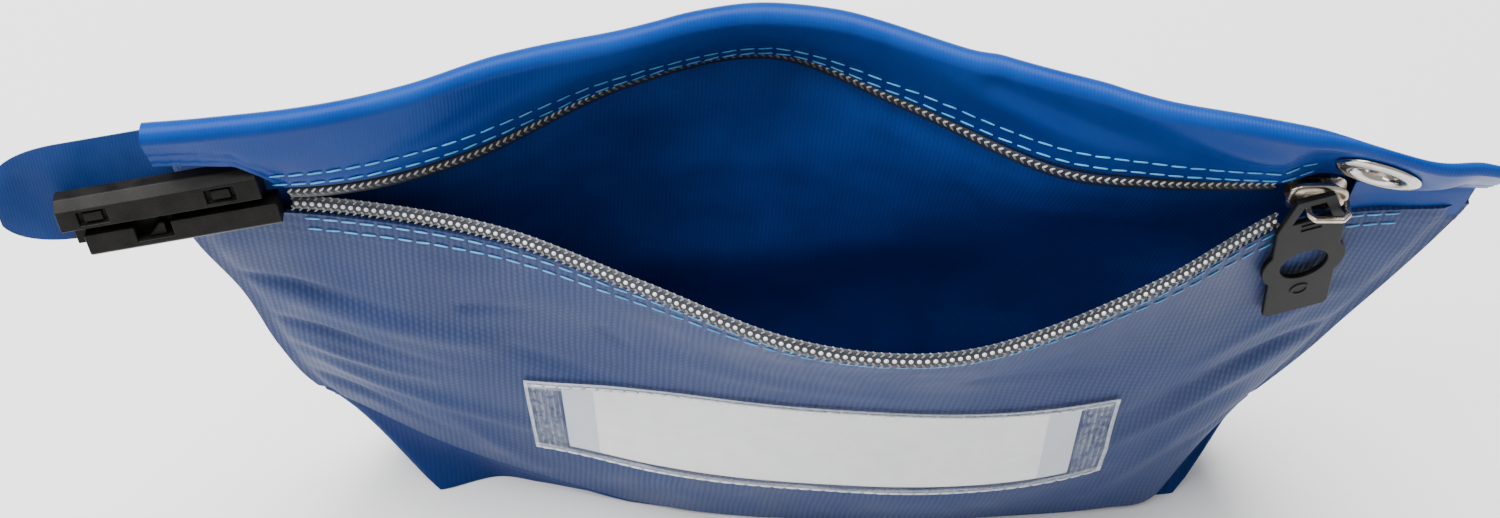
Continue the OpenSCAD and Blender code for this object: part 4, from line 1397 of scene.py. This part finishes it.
# ---- the add-on ----
class BagClothSettings(bpy.types.PropertyGroup):
    fabric: bpy.props.FloatVectorProperty(
        name="Fabric colour", description="Colour of the front and the back where they aren't rubbed",
        default=(0.008, 0.022, 0.095), min=0.0, max=1.0, size=3, subtype="COLOR",
    )
    band: bpy.props.FloatVectorProperty(
        name="Band colour", description="Colour of the band above the zip where it isn't rubbed",
        default=(0.002, 0.032, 0.2), min=0.0, max=1.0, size=3, subtype="COLOR",
    )
    thread: bpy.props.FloatVectorProperty(
        name="Thread colour", description="Darker colour in the thread of the hems and the side seams",
        default=(0.04, 0.32, 0.7), min=0.0, max=1.0, size=3, subtype="COLOR",
    )


class BagZipSettings(bpy.types.PropertyGroup):
    tooth_pitch: bpy.props.FloatProperty(
        name="Tooth pitch", description="Distance from one tooth of the zip to the next",
        default=0.00215, min=0.0015, max=0.003, unit="LENGTH", precision=5,
    )


class BagStitchSettings(bpy.types.PropertyGroup):
    stitch_pitch: bpy.props.FloatProperty(
        name="Stitch pitch", description="Distance from one stitch to the next",
        default=0.005, min=0.003, max=0.008, unit="LENGTH", precision=5,
    )


class BagLabelSettings(bpy.types.PropertyGroup):
    film_wave: bpy.props.FloatProperty(
        name="Film wave", description="How far the clear film waves in front of the card",
        default=0.001, min=0.0, max=0.0015, unit="LENGTH", precision=5,
    )


class BagHousingSettings(bpy.types.PropertyGroup):
    edge_radius: bpy.props.FloatProperty(
        name="Edge radius", description="Radius on the edges of the seal housing",
        default=0.00035, min=0.0001, max=0.0006, unit="LENGTH", precision=5,
    )


class BagStageSettings(bpy.types.PropertyGroup):
    room_light: bpy.props.FloatProperty(
        name="Room light", description="Brightness of the plain room", default=0.55, min=0.0, max=3.0,
    )
    key_light: bpy.props.FloatProperty(
        name="Key light", description="Power of the soft key light",
        default=75.0, min=0.0, max=200.0, subtype="POWER",
    )


class BagPart:
    """What every button of the bag shares."""

    bl_options = {"REGISTER", "UNDO"}

    def settings(self, context, name):
        found = getattr(context.scene, name, None)
        if found is None:
            raise RuntimeError(f"{name} is not registered")
        return found


class BAG_OT_shell(BagPart, bpy.types.Operator):
    """Makes the front, the back and the folded base of the bag"""

    bl_idname = "bag.shell"
    bl_label = "Fabric shell"

    def execute(self, context):
        front_panel()
        back_panel()
        base_gusset()
        return {"FINISHED"}


class BAG_OT_band(BagPart, bpy.types.Operator):
    """Makes the folded band, the tail tongue and the patch over the zip's end"""

    bl_idname = "bag.band"
    bl_label = "Band and tongue"

    def execute(self, context):
        top_band()
        tail_tab()
        end_patch()
        return {"FINISHED"}


class BAG_OT_zip(BagPart, bpy.types.Operator):
    """Makes both coils, both tapes and the bottom stop"""

    bl_idname = "bag.zip"
    bl_label = "Zip"

    def execute(self, context):
        settings = self.settings(context, "bag_zip")
        for front in (True, False):
            zip_coil(front, settings)
            zip_tape(front)
        bottom_stop()
        return {"FINISHED"}


class BAG_OT_stitching(BagPart, bpy.types.Operator):
    """Makes the rows of stitches on the hems and the side seams"""

    bl_idname = "bag.stitching"
    bl_label = "Stitching"

    def execute(self, context):
        hem_stitches(self.settings(context, "bag_stitch"))
        return {"FINISHED"}


class BAG_OT_label(BagPart, bpy.types.Operator):
    """Makes the card, the clear window over it and the window's stitches"""

    bl_idname = "bag.label"
    bl_label = "Label window"

    def execute(self, context):
        label(self.settings(context, "bag_label"))
        return {"FINISHED"}


class BAG_OT_eyelet(BagPart, bpy.types.Operator):
    """Makes the eyelet and its back ring"""

    bl_idname = "bag.eyelet"
    bl_label = "Eyelet"

    def execute(self, context):
        eyelet()
        return {"FINISHED"}


class BAG_OT_housing(BagPart, bpy.types.Operator):
    """Makes the moulded seal housing"""

    bl_idname = "bag.housing"
    bl_label = "Seal housing"

    def execute(self, context):
        seal_housing(self.settings(context, "bag_housing"))
        return {"FINISHED"}


class BAG_OT_slider(BagPart, bpy.types.Operator):
    """Makes the slider, its arch and the puller"""

    bl_idname = "bag.slider"
    bl_label = "Slider and puller"

    def execute(self, context):
        slider()
        puller()
        return {"FINISHED"}


class BAG_OT_stage(BagPart, bpy.types.Operator):
    """Makes the floor, the lights and the camera"""

    bl_idname = "bag.stage"
    bl_label = "Stage"

    def execute(self, context):
        stage(self.settings(context, "bag_stage"))
        return {"FINISHED"}


BUTTONS = (
    BAG_OT_shell, BAG_OT_band, BAG_OT_zip, BAG_OT_stitching, BAG_OT_label, BAG_OT_eyelet, BAG_OT_housing,
    BAG_OT_slider, BAG_OT_stage,
)
GROUPS_OF_SETTINGS = {
    "bag_cloth": BagClothSettings, "bag_zip": BagZipSettings, "bag_stitch": BagStitchSettings,
    "bag_label": BagLabelSettings, "bag_housing": BagHousingSettings, "bag_stage": BagStageSettings,
}


class BAG_PT_panel(bpy.types.Panel):
    """Lists the bag's pieces and their sizes"""

    bl_idname = "BAG_PT_panel"
    bl_label = "Cash deposit bag"
    bl_space_type = "VIEW_3D"
    bl_region_type = "UI"
    bl_category = "Bag"

    def draw(self, context):
        for name in GROUPS_OF_SETTINGS:
            found = getattr(context.scene, name)
            for field in found.__annotations__:
                self.layout.prop(found, field)
        for button in BUTTONS:
            self.layout.operator(button.bl_idname)


def register():
    for cls in (*GROUPS_OF_SETTINGS.values(), *BUTTONS, BAG_PT_panel):
        bpy.utils.register_class(cls)
    for name, cls in GROUPS_OF_SETTINGS.items():
        setattr(bpy.types.Scene, name, bpy.props.PointerProperty(type=cls))


def unregister():
    for name in GROUPS_OF_SETTINGS:
        delattr(bpy.types.Scene, name)
    for cls in reversed((*GROUPS_OF_SETTINGS.values(), *BUTTONS, BAG_PT_panel)):
        bpy.utils.unregister_class(cls)


def main():
    register()
    for build in (
        bpy.ops.bag.stage, bpy.ops.bag.housing, bpy.ops.bag.shell, bpy.ops.bag.band, bpy.ops.bag.zip,
        bpy.ops.bag.stitching, bpy.ops.bag.label, bpy.ops.bag.eyelet, bpy.ops.bag.slider,
    ):
        if build() != {"FINISHED"}:
            raise RuntimeError("a piece of the bag was not made")


if __name__ == "__main__":
    main()
